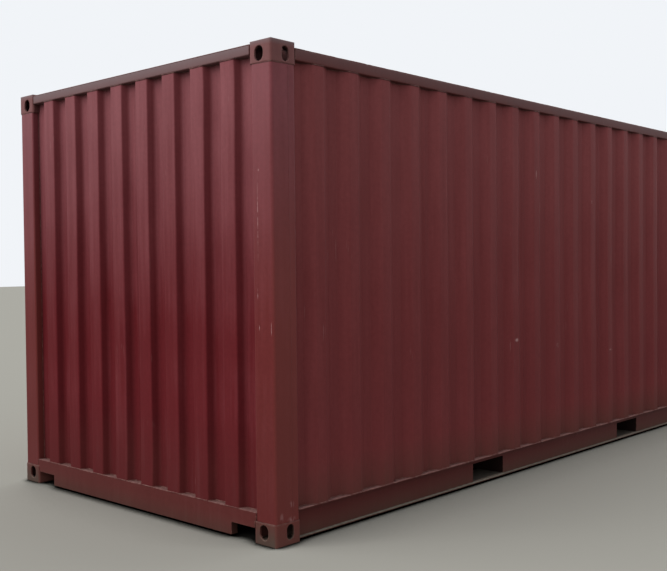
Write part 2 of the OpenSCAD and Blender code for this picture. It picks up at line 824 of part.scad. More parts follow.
// Handles that turn the bars, each on a pin at its hub and resting in a catch on the middle rib
module door_handles() {
    for (side = [LEFT, RIGHT], k = [0, 1]) {
        z = handle_z + (1 - k) * handle_step;
        half_t = handle_t / 2;
        pin_reach = half_t + bar_gap + cheek_t + 3;
        color(zinc) at_corner(REAR, side) {
            translate([bar_in, bar_ys[k], z]) mirror_to([0, k == 0 ? -1 : 1, 0]) translate([0, pivot_y, 0]) {
                along_x(-half_t, half_t) handle_outline();
                rotate([0, 90, 0]) translate([0, 0, -pin_reach]) cylinder(d = pivot_d, h = 2 * pin_reach);
            }
            handle_catch(z);
        }
    }
}

module handle_catch(z) {
    jaw = 6;
    w = side_ridge - 12;
    x0 = bar_in - handle_t / 2 - jaw - 1;
    foot_h = handle_grip + 2 * jaw + 24;
    translate([0, panel_mid, z]) {
        translate([leaf_x - jaw, -w / 2, -foot_h / 2]) cube([jaw, w, foot_h]);
        translate([x0, -w / 2, -handle_grip / 2 - jaw - bar_gap]) cube([leaf_x - x0, w, jaw]);
        translate([x0, -w / 2, -handle_grip / 2 - jaw - bar_gap]) cube([jaw, w, jaw + handle_grip / 2]);
    }
}

fitting(FRONT, LEFT, false);  // fitting_front_left_bottom
fitting(FRONT, RIGHT, false);  // fitting_front_right_bottom
fitting(REAR, LEFT, false);  // fitting_rear_left_bottom
fitting(REAR, RIGHT, false);  // fitting_rear_right_bottom
fitting(FRONT, LEFT, true);  // fitting_front_left_top
fitting(FRONT, RIGHT, true);  // fitting_front_right_top
fitting(REAR, LEFT, true);  // fitting_rear_left_top
fitting(REAR, RIGHT, true);  // fitting_rear_right_top
front_post(LEFT);  // front_post_left
front_post(RIGHT);  // front_post_right
rear_post(LEFT);  // rear_post_left
rear_post(RIGHT);  // rear_post_right
bottom_rail(LEFT);  // bottom_rail_left
bottom_rail(RIGHT);  // bottom_rail_right
top_rail(LEFT);  // top_rail_left
top_rail(RIGHT);  // top_rail_right
front_sill();
front_header();
door_sill();
door_header();
front_wall();
side_wall(LEFT);  // side_wall_left
side_wall(RIGHT);  // side_wall_right
roof_sheet();
roof_plate(FRONT, frame_in);  // roof_plate_front
roof_plate(REAR, door_in);  // roof_plate_rear
cross_bay(sill_d, pocket_x - pocket_w / 2 - cross_w);  // cross_members_front
cross_bay(pocket_x + pocket_w / 2 + cross_w, length - pocket_x - pocket_w / 2 - cross_w);  // cross_members_middle
cross_bay(length - pocket_x + pocket_w / 2 + cross_w, length - door_in - door_frame_d);  // cross_members_rear
forklift_pocket(FRONT);  // forklift_pocket_front
forklift_pocket(REAR);  // forklift_pocket_rear
floor_boards();
door_frame(LEFT);  // door_frame_left
door_frame(RIGHT);  // door_frame_right
door_panel(LEFT);  // door_panel_left
door_panel(RIGHT);  // door_panel_right
door_gaskets();
door_hinges(LEFT);  // door_hinges_left
door_hinges(RIGHT);  // door_hinges_right
locking_bars(LEFT);  // locking_bars_left
locking_bars(RIGHT);  // locking_bars_right
bar_brackets();
cam_keepers();
door_handles();
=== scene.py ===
"""Twenty-foot steel freight container: pressed walls, cast corner fittings and double doors.

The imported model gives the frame. This file gives each piece its finish, from the castings at
the corners to the gear on the doors, and draws the pressed sheets, welds, seals and fasteners.
Lengths are in metres. X runs along the container with the doors at +X, Y across it and Z up.
"""

import math

import bpy
import numpy as np
from mathutils import Matrix, Vector


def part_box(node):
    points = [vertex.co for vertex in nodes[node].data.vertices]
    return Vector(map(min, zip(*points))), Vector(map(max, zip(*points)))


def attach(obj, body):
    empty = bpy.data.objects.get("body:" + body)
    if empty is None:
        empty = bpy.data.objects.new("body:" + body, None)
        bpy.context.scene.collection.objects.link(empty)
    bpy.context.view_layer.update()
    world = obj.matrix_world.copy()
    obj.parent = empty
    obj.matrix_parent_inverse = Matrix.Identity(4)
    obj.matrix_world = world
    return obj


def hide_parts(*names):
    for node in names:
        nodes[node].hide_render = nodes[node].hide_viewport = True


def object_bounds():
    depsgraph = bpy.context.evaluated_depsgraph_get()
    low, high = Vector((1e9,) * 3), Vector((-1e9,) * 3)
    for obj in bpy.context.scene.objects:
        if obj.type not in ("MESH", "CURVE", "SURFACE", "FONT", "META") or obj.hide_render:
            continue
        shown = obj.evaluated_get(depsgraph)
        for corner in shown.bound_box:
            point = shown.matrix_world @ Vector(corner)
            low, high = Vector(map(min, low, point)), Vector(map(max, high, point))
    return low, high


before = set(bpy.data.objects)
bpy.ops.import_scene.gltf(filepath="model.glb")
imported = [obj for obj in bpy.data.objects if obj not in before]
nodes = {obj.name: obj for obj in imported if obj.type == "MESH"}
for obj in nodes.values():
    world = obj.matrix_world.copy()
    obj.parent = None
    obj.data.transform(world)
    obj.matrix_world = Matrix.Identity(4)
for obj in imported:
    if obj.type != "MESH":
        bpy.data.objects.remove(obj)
cad_box = [list(corner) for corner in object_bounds()]
half_length = cad_box[1][0]
half_width = cad_box[1][1]
top_height = cad_box[1][2]

# Camera and daylight
# The view is that of a person who stands off the front left corner of the container.
# The light is an overcast sky that is brighter ahead of the blind end than beside the container.

scene = bpy.context.scene
scene.view_settings.view_transform = "Standard"

EYE = Vector((-6.380, -4.702, 1.449))
EYE_TURN = math.radians(42.504)
EYE_TILT = math.radians(-1.313)
EYE_ROLL = math.radians(-0.579)
LENS_MM = 51.58
SENSOR_MM = 36.0

ahead = Vector((
    math.cos(EYE_TURN) * math.cos(EYE_TILT),
    math.sin(EYE_TURN) * math.cos(EYE_TILT),
    math.sin(EYE_TILT),
))
level_right = ahead.cross(Vector((0, 0, 1))).normalized()
level_up = level_right.cross(ahead)
eye_right = level_right * math.cos(EYE_ROLL) + level_up * math.sin(EYE_ROLL)
eye_up = level_up * math.cos(EYE_ROLL) - level_right * math.sin(EYE_ROLL)

camera = bpy.data.objects.new("camera", bpy.data.cameras.new("camera"))
camera.data.lens = LENS_MM
camera.data.sensor_width = SENSOR_MM
camera.matrix_world = (
    Matrix.Translation(EYE) @ Matrix((eye_right, eye_up, -ahead)).transposed().to_4x4()
)
scene.collection.objects.link(camera)
scene.camera = camera


def linear(hex_colour):
    """Turns an sRGB colour such as #6a1d20 to the linear red, green, blue and alpha of a shader:
    a share s above 0.04045 becomes ((s + 0.055) / 1.055) ^ 2.4, and a smaller one s / 12.92."""
    share = np.array([int(hex_colour[i:i + 2], 16) for i in (1, 3, 5)]) / 255
    value = np.where(share <= 0.04045, share / 12.92, ((share + 0.055) / 1.055) ** 2.4)
    return (*value.tolist(), 1.0)


def add(tree, kind, inputs=None, output=0, **options):
    """Adds a node to a material. inputs maps a socket's name or number to a value or to another
    node's output, and options are the node's own settings. Returns the output asked for."""
    made = tree.nodes.new(kind)
    for name, value in options.items():
        setattr(made, name, value)
    for key, value in (inputs or {}).items():
        if isinstance(value, bpy.types.NodeSocket):
            tree.links.new(value, made.inputs[key])
        else:
            made.inputs[key].default_value = value
    return made.outputs[output] if len(made.outputs) else made


SKY = linear("#f1f4f8")
SKY_LIGHT = 0.78
SKY_SHOWN = 1.0

world = bpy.data.worlds.new("overcast_sky")
world.use_nodes = True
scene.world = world
sky = world.node_tree
sky.nodes.clear()
seen = add(sky, "ShaderNodeLightPath", output="Is Camera Ray")
for kind in ("Is Glossy Ray", "Is Transmission Ray"):
    ray = add(sky, "ShaderNodeLightPath", output=kind)
    seen = add(sky, "ShaderNodeMath", {0: seen, 1: ray}, operation="MAXIMUM")
add(sky, "ShaderNodeOutputWorld", {"Surface": add(sky, "ShaderNodeMixShader", {
    0: seen,
    1: add(sky, "ShaderNodeBackground", {"Color": SKY, "Strength": SKY_LIGHT}),
    2: add(sky, "ShaderNodeBackground", {"Color": SKY, "Strength": SKY_SHOWN}),
})})


def soft_sun(name, toward, strength, spread):
    """A soft light from far away that shines along the direction toward. spread is the angle in
    degrees that it fills in the sky."""
    lamp = bpy.data.lights.new(name, "SUN")
    lamp.energy = strength
    lamp.angle = math.radians(spread)
    holder = bpy.data.objects.new(name, lamp)
    holder.rotation_mode = "QUATERNION"
    holder.rotation_quaternion = Vector(toward).to_track_quat("-Z", "Y")
    scene.collection.objects.link(holder)


soft_sun("front_sky", (1.0, -0.12, -0.85), strength=1.9, spread=56)
soft_sun("upper_sky", (0.60, -0.70, -0.46), strength=0.85, spread=40)
soft_sun("rear_sky", (-1.0, -0.35, -0.7), strength=0.7, spread=80)

FLOOR_REACH = 60.0
FLOOR_GREY = linear("#97958d")
FLOOR_BOUNCE = linear("#8f8d87")

ground = bpy.data.meshes.new("studio_floor")
ground.from_pydata(
    [(x * FLOOR_REACH, y * FLOOR_REACH, 0) for x, y in ((-1, -1), (1, -1), (1, 1), (-1, 1))],
    [], [(0, 1, 2, 3)],
)
studio_floor = bpy.data.objects.new("studio_floor", ground)
scene.collection.objects.link(studio_floor)


def empty_finish(name):
    """A new material without nodes, and its node tree."""
    finish = bpy.data.materials.new(name)
    finish.use_nodes = True
    finish.node_tree.nodes.clear()
    return finish, finish.node_tree


floor_paint, floor_tree = empty_finish("pale_floor_paint")
bounce = add(floor_tree, "ShaderNodeLightPath", output="Is Diffuse Ray")
# Painted shadow: the ground right under the container is darkened
open_air = add(floor_tree, "ShaderNodeAmbientOcclusion", {"Distance": 1.0}, output="AO", samples=8)
painted_floor_shadow = add(floor_tree, "ShaderNodeMapRange", {
    "Value": open_air, "From Min": 0.36, "From Max": 0.56, "To Min": 0.04, "To Max": 1.0,
})
# Painted contact shadow: darker where steel stands a few centimetres off the ground and keeps the
# sky from it
painted_contact_shadow = add(floor_tree, "ShaderNodeAmbientOcclusion", {"Distance": 0.10}, output="AO", samples=8)
painted_contact_shadow = add(floor_tree, "ShaderNodeMapRange", {
    "Value": painted_contact_shadow, "From Min": 0.60, "From Max": 0.86, "To Min": 0.10, "To Max": 1.0,
})
painted_floor_shadow = add(floor_tree, "ShaderNodeMath", {0: painted_floor_shadow, 1: painted_contact_shadow}, operation="MULTIPLY")
seen_floor = add(floor_tree, "ShaderNodeVectorMath", {0: FLOOR_GREY[:3], "Scale": painted_floor_shadow},
                 operation="SCALE")
add(floor_tree, "ShaderNodeOutputMaterial", {"Surface": add(floor_tree, "ShaderNodeMixShader", {
    0: bounce,
    1: add(floor_tree, "ShaderNodeBsdfDiffuse", {"Color": seen_floor}),
    2: add(floor_tree, "ShaderNodeBsdfDiffuse", {"Color": FLOOR_BOUNCE}),
})})
ground.materials.append(floor_paint)

# Corner fittings
# Eight hollow steel castings carry and lock the container. They are sand cast, so their faces
# are grainy, and they take the knocks: the paint is thin, dusty and worn through at the edges.

OXIDE_RED = "#5e2222"
# The chalked red is partly chalk and partly painted light: the paint is lighter up high
CHALKED_AND_LIT_RED = "#753e43"
ROAD_GRIME = "#33211c"
SUN_BLEACHED = linear("#705f61")
# A pale mud colour for side faces, which also acts as painted light that lifts them low down
SIDE_MUD_AND_LIGHT = linear("#7d403b")
SCRAPED_PAINT = linear("#a98583")
DARK_RUST = linear("#2c1712")
BROWN_RUST = linear("#6e4029")
WORN_PAINT = linear("#85695f")
GROUND_DUST = linear("#8a8579")
LEDGE_DUST = linear("#95706b")
# A colour mix takes its share at input 0 and its colours at 6 and 7, and gives output 2
BLEND = {"output": 2, "data_type": "RGBA"}


def painted_steel(name, fresh, chalked_and_lit, grime, rough=0.42, streak=0.5, dust=0.6, chips=0.5,
                  worn_edge=0.0, grain=0.0, dents=0.0, marks=(), mud_and_shade_height=0.32,
                  mud_and_shade_share=0.30, side_mud_and_light=(0.55, 0.12), bleach=(3.0, 4.0), hollow=(0.08, 0.3),
                  gloss=0.09, flank_shade=0.0):
    """Oxide-red alkyd topcoat on weathering steel, sprayed in the yard: a satin skin that lightens
    towards the top, as chalk and as painted light, with rain streaks, road dust on ledges,
    scuffs, and chips that rust.
    streak is the share of rain runs against clouds, worn_edge the width of the wear on edges,
    grain the depth of a cast skin, dents the depth of dents in a sheet, and marks lists
    scratches as (centre, half size, strength). Mud and painted shade darken the paint up to
    mud_and_shade_height, by up to mud_and_shade_share at the ground. film gives how high and how
    thick a pale mud colour lies on side faces; it is also painted light that lifts them near the
    ground.
    Between the heights of bleach the paint goes grey. hollow gives how near another face
    shelters the paint and the share of its colour that is left there, as painted shade. gloss
    is the level of the reflection, low because the chalky skin scatters it. flank is the share
    of the lightening that the steep sides of ribs lose, as painted shade where little sun falls."""
    finish, tree = empty_finish(name)
    place = add(tree, "ShaderNodeTexCoord", output="Object")
    height = add(tree, "ShaderNodeSeparateXYZ", {0: place}, output="Z")
    outward = add(tree, "ShaderNodeNewGeometry", output="Normal")
    upward = add(tree, "ShaderNodeSeparateXYZ", {0: outward}, output="Z")
    sideways = add(tree, "ShaderNodeSeparateXYZ", {0: outward}, output="Y")
    sideways = add(tree, "ShaderNodeMath", {0: sideways}, operation="ABSOLUTE")

    # Rain runs down the steel in bands 20 to 60 mm wide and most of a metre long
    runs = add(tree, "ShaderNodeTexNoise", {
        "Vector": add(tree, "ShaderNodeMapping", {"Vector": place, "Scale": (24.0, 24.0, 1.1)}),
        "Scale": 1.0, "Detail": 4.0, "Roughness": 0.6,
    })
    # Cloudy fading a few hundred millimetres across
    clouds = add(tree, "ShaderNodeTexNoise", {"Vector": place, "Scale": 2.6, "Detail": 5.0})
    mottle = add(tree, "ShaderNodeTexNoise", {"Vector": place, "Scale": 45.0, "Detail": 6.0})
    tone = add(tree, "ShaderNodeMix", {0: streak, 2: clouds, 3: runs}, data_type="FLOAT")

    # Chalk and painted light: the paint lightens from 0.9 m up and is fully light at 2.7 m,
    # and the pattern shifts it by up to 0.45
    chalk_and_light_rise = add(tree, "ShaderNodeMapRange", {"Value": height, "From Min": 0.9, "From Max": 2.7},
               interpolation_type="SMOOTHSTEP")
    chalk_and_light = add(tree, "ShaderNodeMath", {0: tone, 1: 0.9, 2: -0.45}, operation="MULTIPLY_ADD")
    chalk_and_light = add(tree, "ShaderNodeMath", {0: chalk_and_light_rise, 1: chalk_and_light}, operation="ADD", use_clamp=True)
    # Painted shade: the steep sides of ribs lose part of the lightening
    if flank_shade:
        painted_flank_shade = add(tree, "ShaderNodeMapRange", {
            "Value": sideways, "From Min": 0.3, "From Max": 0.9, "To Min": 1.0,
            "To Max": 1 - flank_shade,
        })
        chalk_and_light = add(tree, "ShaderNodeMath", {0: chalk_and_light, 1: painted_flank_shade}, operation="MULTIPLY")
    colour = add(tree, "ShaderNodeMix", {0: chalk_and_light, 6: linear(fresh), 7: linear(chalked_and_lit)},
                 **BLEND)
    speckle = add(tree, "ShaderNodeMapRange", {"Value": mottle, "To Min": 0.86, "To Max": 1.14})
    shade = add(tree, "ShaderNodeMapRange", {"Value": tone, "To Min": 0.82, "To Max": 1.18})
    shade = add(tree, "ShaderNodeMath", {0: speckle, 1: shade}, operation="MULTIPLY")
    colour = add(tree, "ShaderNodeVectorMath", {0: colour, "Scale": shade}, operation="SCALE")
    colour = add(tree, "ShaderNodeMix", {
        0: add(tree, "ShaderNodeMapRange", {
            "Value": height, "From Min": bleach[0], "From Max": bleach[1], "To Max": 0.8,
        }),
        6: colour, 7: SUN_BLEACHED,
    }, **BLEND)

    # Painted shade: the paint is darkened where another face is near, as where two pieces meet,
    # and close above the ground these places also take the grime colour
    shelter = add(tree, "ShaderNodeAmbientOcclusion", {"Distance": hollow[0]}, output="AO",
                  samples=4)
    sheltered = add(tree, "ShaderNodeMapRange", {
        "Value": shelter, "From Min": 0.60, "From Max": 0.12, "To Max": 1.0,
    })
    painted_hollow_shade = add(tree, "ShaderNodeMapRange", {
        "Value": sheltered, "To Min": 1.0, "To Max": hollow[1],
    })
    colour = add(tree, "ShaderNodeVectorMath", {0: colour, "Scale": painted_hollow_shade}, operation="SCALE")
    near_ground = add(tree, "ShaderNodeMapRange", {
        "Value": height, "From Min": 0.45, "From Max": 0.10, "To Max": 0.6,
    })
    caked = add(tree, "ShaderNodeMath", {0: sheltered, 1: near_ground}, operation="MULTIPLY")
    # Darker towards the ground: mud, and painted shade for the light that falls off low down
    low_mud_and_shade = add(tree, "ShaderNodeMapRange", {
        "Value": height, "From Min": mud_and_shade_height, "From Max": 0.02, "To Max": mud_and_shade_share,
    })
    grime_and_shade = add(tree, "ShaderNodeMath", {0: caked, 1: low_mud_and_shade}, operation="MAXIMUM")
    washed = add(tree, "ShaderNodeMapRange", {
        "Value": tone, "From Min": 0.3, "From Max": 0.6, "To Min": 0.5,
    })
    grime_and_shade = add(tree, "ShaderNodeMath", {0: grime_and_shade, 1: washed}, operation="MULTIPLY")
    colour = add(tree, "ShaderNodeMix", {0: grime_and_shade, 6: colour, 7: linear(grime)}, **BLEND)
    # Pale mud colour on side faces near the ground, which is also painted light that lifts them
    side_mud_and_light_share = add(tree, "ShaderNodeMapRange", {
        "Value": height, "From Min": side_mud_and_light[0], "From Max": side_mud_and_light[0] * 0.6, "To Max": side_mud_and_light[1],
    })
    side_mud_and_light_share = add(tree, "ShaderNodeMath", {0: side_mud_and_light_share, 1: sideways}, operation="MULTIPLY")
    colour = add(tree, "ShaderNodeMix", {0: side_mud_and_light_share, 6: colour, 7: SIDE_MUD_AND_LIGHT}, **BLEND)

    # Hairline scuffs, 3 mm wide here so that they show, in loose groups
    lines = add(tree, "ShaderNodeTexNoise", {
        "Vector": add(tree, "ShaderNodeMapping", {"Vector": place, "Scale": (150.0, 150.0, 5.0)}),
        "Scale": 1.0, "Detail": 2.0,
    })
    lines = add(tree, "ShaderNodeMapRange", {"Value": lines, "From Min": 0.70, "From Max": 0.76})
    groups = add(tree, "ShaderNodeTexNoise", {"Vector": place, "Scale": 1.7, "Detail": 3.0})
    groups = add(tree, "ShaderNodeMapRange", {
        "Value": groups, "From Min": 0.56, "From Max": 0.68, "To Max": 0.5,
    })
    scuffs = add(tree, "ShaderNodeMath", {0: lines, 1: groups}, operation="MULTIPLY")
    for centre, half_size, strength in marks:
        off = add(tree, "ShaderNodeVectorMath", {0: place, 1: centre}, operation="SUBTRACT")
        off = add(tree, "ShaderNodeVectorMath", {0: off, 1: half_size}, operation="DIVIDE")
        reach = add(tree, "ShaderNodeVectorMath", {0: off}, output="Value", operation="LENGTH")
        line = add(tree, "ShaderNodeMapRange", {
            "Value": reach, "From Min": 1.0, "From Max": 0.3,
            "To Max": add(tree, "ShaderNodeMapRange", {
                "Value": mottle, "From Min": 0.38, "From Max": 0.58, "To Max": strength,
            }),
        })
        scuffs = add(tree, "ShaderNodeMath", {0: scuffs, 1: line}, operation="MAXIMUM")
    colour = add(tree, "ShaderNodeMix", {0: scuffs, 6: colour, 7: SCRAPED_PAINT}, **BLEND)

    # Stone chips of 2 to 6 mm that have gone to brown rust
    spots = add(tree, "ShaderNodeTexNoise", {"Vector": place, "Scale": 130.0, "Detail": 2.0})
    spots = add(tree, "ShaderNodeMapRange", {"Value": spots, "From Min": 0.71, "From Max": 0.74})
    patches = add(tree, "ShaderNodeTexNoise", {"Vector": place, "Scale": 3.4, "Detail": 4.0})
    patches = add(tree, "ShaderNodeMapRange", {
        "Value": patches, "From Min": 0.52, "From Max": 0.66, "To Max": chips,
    })
    rust = add(tree, "ShaderNodeMath", {0: spots, 1: patches}, operation="MULTIPLY")
    rust_colour = add(tree, "ShaderNodeMix", {0: mottle, 6: DARK_RUST, 7: BROWN_RUST},
                      **BLEND)
    colour = add(tree, "ShaderNodeMix", {0: rust, 6: colour, 7: rust_colour}, **BLEND)

    facing = outward
    if worn_edge:
        facing = add(tree, "ShaderNodeBevel", {"Radius": worn_edge}, samples=4)
        level = add(tree, "ShaderNodeVectorMath", {0: facing, 1: outward},
                    output="Value", operation="DOT_PRODUCT")
        edge = add(tree, "ShaderNodeMapRange", {
            "Value": level, "From Min": 0.985, "From Max": 0.90,
        })
        broken = add(tree, "ShaderNodeMapRange", {
            "Value": mottle, "From Min": 0.42, "From Max": 0.60, "To Max": 0.75,
        })
        edge = add(tree, "ShaderNodeMath", {0: edge, 1: broken}, operation="MULTIPLY")
        colour = add(tree, "ShaderNodeMix", {0: edge, 6: colour, 7: WORN_PAINT}, **BLEND)

    # Pale road dust lies on whatever faces up, except in hollows, which keep their painted shade
    settled = add(tree, "ShaderNodeMapRange", {
        "Value": upward, "From Min": 0.45, "From Max": 0.9, "To Max": dust,
    })
    patchy = add(tree, "ShaderNodeMapRange", {
        "Value": mottle, "From Min": 0.3, "From Max": 0.6, "To Min": 0.55,
    })
    exposed = add(tree, "ShaderNodeMapRange", {"Value": sheltered, "To Min": 1.0, "To Max": 0.0})
    for share in (patchy, exposed):
        settled = add(tree, "ShaderNodeMath", {0: settled, 1: share}, operation="MULTIPLY")
    dust_colour = add(tree, "ShaderNodeMix", {
        0: add(tree, "ShaderNodeMapRange", {"Value": height, "From Min": 0.03, "From Max": 0.14}),
        6: GROUND_DUST, 7: LEDGE_DUST,
    }, **BLEND)
    colour = add(tree, "ShaderNodeMix", {0: settled, 6: colour, 7: dust_colour}, **BLEND)

    # Orange peel of the spray coat, about 4 mm from bump to bump
    peel = add(tree, "ShaderNodeTexNoise", {"Vector": place, "Scale": 240.0, "Detail": 1.0})
    skin = add(tree, "ShaderNodeBump", {
        "Height": peel, "Distance": 0.00025, "Strength": 0.5, "Normal": facing,
    })
    if grain:
        sand = add(tree, "ShaderNodeTexNoise", {"Vector": place, "Scale": 160.0, "Detail": 8.0})
        skin = add(tree, "ShaderNodeBump", {
            "Height": sand, "Distance": grain, "Strength": 1.0, "Normal": skin,
        })
    if dents:
        waves = add(tree, "ShaderNodeTexNoise", {"Vector": place, "Scale": 2.2, "Detail": 2.0})
        skin = add(tree, "ShaderNodeBump", {
            "Height": waves, "Distance": dents, "Strength": 1.0, "Normal": skin,
        })
    skin = add(tree, "ShaderNodeBump", {
        "Height": rust, "Distance": 0.0008, "Strength": 0.6, "Normal": skin,
    })

    matt = add(tree, "ShaderNodeMapRange", {
        "Value": mottle, "To Min": rough - 0.10, "To Max": rough + 0.10,
    })
    matt = add(tree, "ShaderNodeMath", {0: grime_and_shade, 1: 0.25, 2: matt}, operation="MULTIPLY_ADD")
    matt = add(tree, "ShaderNodeMath", {0: settled, 1: 0.4, 2: matt}, operation="MULTIPLY_ADD")
    matt = add(tree, "ShaderNodeMath", {0: matt, 1: rust}, operation="ADD", use_clamp=True)
    add(tree, "ShaderNodeOutputMaterial", {"Surface": add(tree, "ShaderNodeBsdfPrincipled", {
        "Base Color": colour, "Roughness": matt, "Normal": skin, "IOR": 1.5,
        "Specular IOR Level": gloss,
    })})
    return finish


def dress(names, finish):
    """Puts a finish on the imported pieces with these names."""
    for name in names:
        for slot in nodes[name].material_slots:
            slot.material = finish


fitting_names = sorted(name for name in nodes if name.startswith("fitting_"))
# The castings are darkened almost to black inside, as painted shade
casting_finish = painted_steel(
    "painted_steel_casting", "#502d28", "#6f4645", "#453b33", rough=0.5, dust=0.3, chips=0.9,
    worn_edge=0.007, grain=0.0007, mud_and_shade_height=0.12, mud_and_shade_share=0.85, side_mud_and_light=(0.55, 0.4),
    bleach=(2.560, 2.590), hollow=(0.22, 0.24),
)
dress(fitting_names, casting_finish)


def grid_faces(rows, columns, round_columns=False):
    """Corner numbers of the four-sided faces between neighbouring points of a grid: point (r, c)
    is number r * columns + c. round_columns joins the last column to the first."""
    row = np.arange(rows - 1)[:, None]
    column = np.arange(columns if round_columns else columns - 1)[None, :]
    following = (column + 1) % columns
    corners = [row * columns + column, (row + 1) * columns + column,
               (row + 1) * columns + following, row * columns + following]
    return np.stack(np.broadcast_arrays(*corners), -1).reshape(-1, 4)


def outward_faces(points, faces):
    """Turns a closed shell's faces round if they point inwards. The sum of corner triple products
    over its triangles is six times its volume, and is negative for an inside-out shell."""
    a, b, c, d = (points[faces[:, k]] for k in range(4))
    volume = (np.cross(a, b) * c).sum() + (np.cross(a, c) * d).sum()
    return faces if volume > 0 else faces[:, ::-1]


def join_shells(shells):
    """Joins (points, faces) shells to one, with each shell's corner numbers moved up."""
    starts = np.cumsum([0] + [len(points) for points, faces in shells[:-1]])
    points = np.concatenate([points for points, faces in shells])
    faces = np.concatenate([faces + start for (_, faces), start in zip(shells, starts)])
    return points, faces


def fit_piece(name, shell, finish, sharp=40):
    """Makes a piece of the container from (points, faces), gives it its finish and fixes it.
    Edges that turn by more than sharp degrees stay sharp."""
    points, faces = shell
    mesh = bpy.data.meshes.new(name)
    mesh.from_pydata(points.tolist(), [], faces.tolist())
    mesh.validate()
    mesh.shade_smooth()
    mesh.set_sharp_from_angle(angle=math.radians(sharp))
    mesh.materials.append(finish)
    piece = bpy.data.objects.new(name, mesh)
    scene.collection.objects.link(piece)
    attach(piece, "root")
    return piece


def bead(path, across, deep, up, closed=False, sides=6, uneven=0.0):
    """A weld bead or lip along a path. At each point the path carries an ellipse: the point at
    angle a is across * cos(a) sideways and deep * sin(a) along up, sideways being the path's
    direction crossed with up. The ends shrink to a tenth, so that they close. uneven is the
    share by which the bead swells and thins along the way."""
    ahead_of = np.roll(path, -1, 0) - path
    behind = path - np.roll(path, 1, 0)
    if not closed:
        ahead_of[-1] = behind[-1]
        behind[0] = ahead_of[0]
    unit = [v / np.linalg.norm(v, axis=1, keepdims=True) for v in (ahead_of, behind)]
    sideways = np.cross(unit[0] + unit[1], up)
    sideways /= np.linalg.norm(sideways, axis=1, keepdims=True)
    angle = np.arange(sides) * 2 * np.pi / sides
    size = 1 + uneven * np.random.default_rng(len(path)).uniform(-1, 1, len(path))
    if not closed:
        size[[0, -1]] = 0.1
    ring = (across * np.cos(angle)[None, :, None] * sideways[:, None]
            + deep * np.sin(angle)[None, :, None] * np.asarray(up)[None, None])
    rings = path[:, None] + size[:, None, None] * ring
    if closed:
        rings = np.concatenate([rings, rings[:1]])
    points = rings.reshape(-1, 3)
    faces = grid_faces(len(rings), sides, round_columns=True)
    if closed:
        faces = faces % (len(path) * sides)
        points = points[:len(path) * sides]
    return points, outward_faces(points, faces)


FRONT, REAR = -1, 1
LEFT, RIGHT = -1, 1
CORNERS = [(end, side) for end in (FRONT, REAR) for side in (LEFT, RIGHT)]


def at_corner(points, end, side):
    """Moves points drawn inboard of a corner, with x from the end face, y from the side face
    and z from the ground, to that corner of the container."""
    points = np.asarray(points, float)
    return np.column_stack([
        end * (half_length - points[:, 0]), side * (half_width - points[:, 1]), points[:, 2],
    ])


FITTING_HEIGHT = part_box("fitting_front_left_bottom")[1][2]
# The frame stands this far behind the castings' faces, and further at the door end
FRAME_IN = 0.003
DOOR_END_IN = 0.050
# Half a weld bead's size, the stretch in which it closes and its distance from the joint
WELD = 0.003
WELD_END = 0.004
WELD_OFF = 0.001


def straight(start, end, step=0.0):
    """Points on the straight line from start to end: a little inside each end, so that a bead
    closes there, and if step is above zero also every step on the way."""
    start, end = np.asarray(start, float), np.asarray(end, float)
    reach = np.linalg.norm(end - start)
    count = max(2, int(reach / step) + 1) if step else 2
    inner = np.linspace(WELD_END, reach - WELD_END, count)
    return start + np.array([0, *inner, reach])[:, None] / reach * (end - start)


POST_BEND = 0.016
POST_LONG = 0.172
POST_WIDE = 0.150
# How far in the posts' end faces stand, and how far in their sections reach along X and Y
POST_FACES = {FRONT: (FRAME_IN, POST_LONG, POST_WIDE), REAR: (DOOR_END_IN, POST_LONG, 0.049)}


def post_ring(end, side, height):
    """The weld between a post and a casting: round the outside of the post's pressed section,
    along the side face, round the main bend as a quarter circle, and along the end face."""
    face, reach, width = POST_FACES[end]
    turn = np.linspace(0, np.pi / 2, 7)
    arc = np.column_stack([face + POST_BEND - POST_BEND * np.sin(turn),
                           FRAME_IN + POST_BEND - POST_BEND * np.cos(turn)])
    line = np.vstack([[[reach, FRAME_IN]], arc, [[face, width]]])
    return at_corner(np.column_stack([line, np.full(len(line), height)]), end, side)


fitting_welds = [
    bead(post_ring(end, side, height), WELD, WELD, (0, 0, 1))
    for end, side in CORNERS
    for height in (FITTING_HEIGHT, top_height - FITTING_HEIGHT)
]
fit_piece("fitting_welds", join_shells(fitting_welds), casting_finish)

# Corner posts
# Each is one pressed steel section, welded to a casting above and below. Chains and other
# containers rub their end faces, so they carry long upright scratches.

POST_SCRATCHES = (
    ((-3.029, -1.106, 1.69), (0.03, 0.0022, 0.26), 0.8),
    ((-3.029, -1.100, 1.30), (0.03, 0.0030, 0.035), 0.8),
    ((-3.029, -1.110, 1.13), (0.03, 0.0028, 0.026), 0.8),
    ((-3.029, -1.198, 1.12), (0.03, 0.0026, 0.040), 0.8),
    ((-3.029, -1.115, 1.932), (0.03, 0.0050, 0.008), 0.8),
    ((-2.912, -1.216, 0.205), (0.020, 0.03, 0.026), 0.3),
    ((-2.912, -1.216, 0.130), (0.036, 0.03, 0.018), 0.35),
    ((-2.985, -1.216, 0.150), (0.016, 0.03, 0.034), 0.25),
)
# The posts darken towards the ground with mud and painted shade, and their sides are lifted low
# down with pale mud and painted light
post_finish = painted_steel(
    "painted_pressed_steel", OXIDE_RED, CHALKED_AND_LIT_RED, ROAD_GRIME, rough=0.34, chips=0.6,
    worn_edge=0.004, streak=0.6, marks=POST_SCRATCHES, mud_and_shade_height=1.0, mud_and_shade_share=0.35,
    side_mud_and_light=(2.3, 0.42),
)
dress(["front_post_left", "front_post_right", "rear_post_left", "rear_post_right"], post_finish)

# Rails, sills and headers
# Rolled and pressed sections join the castings. Their ledges hold dust, and their lower edges
# have a grey bloom from the road.

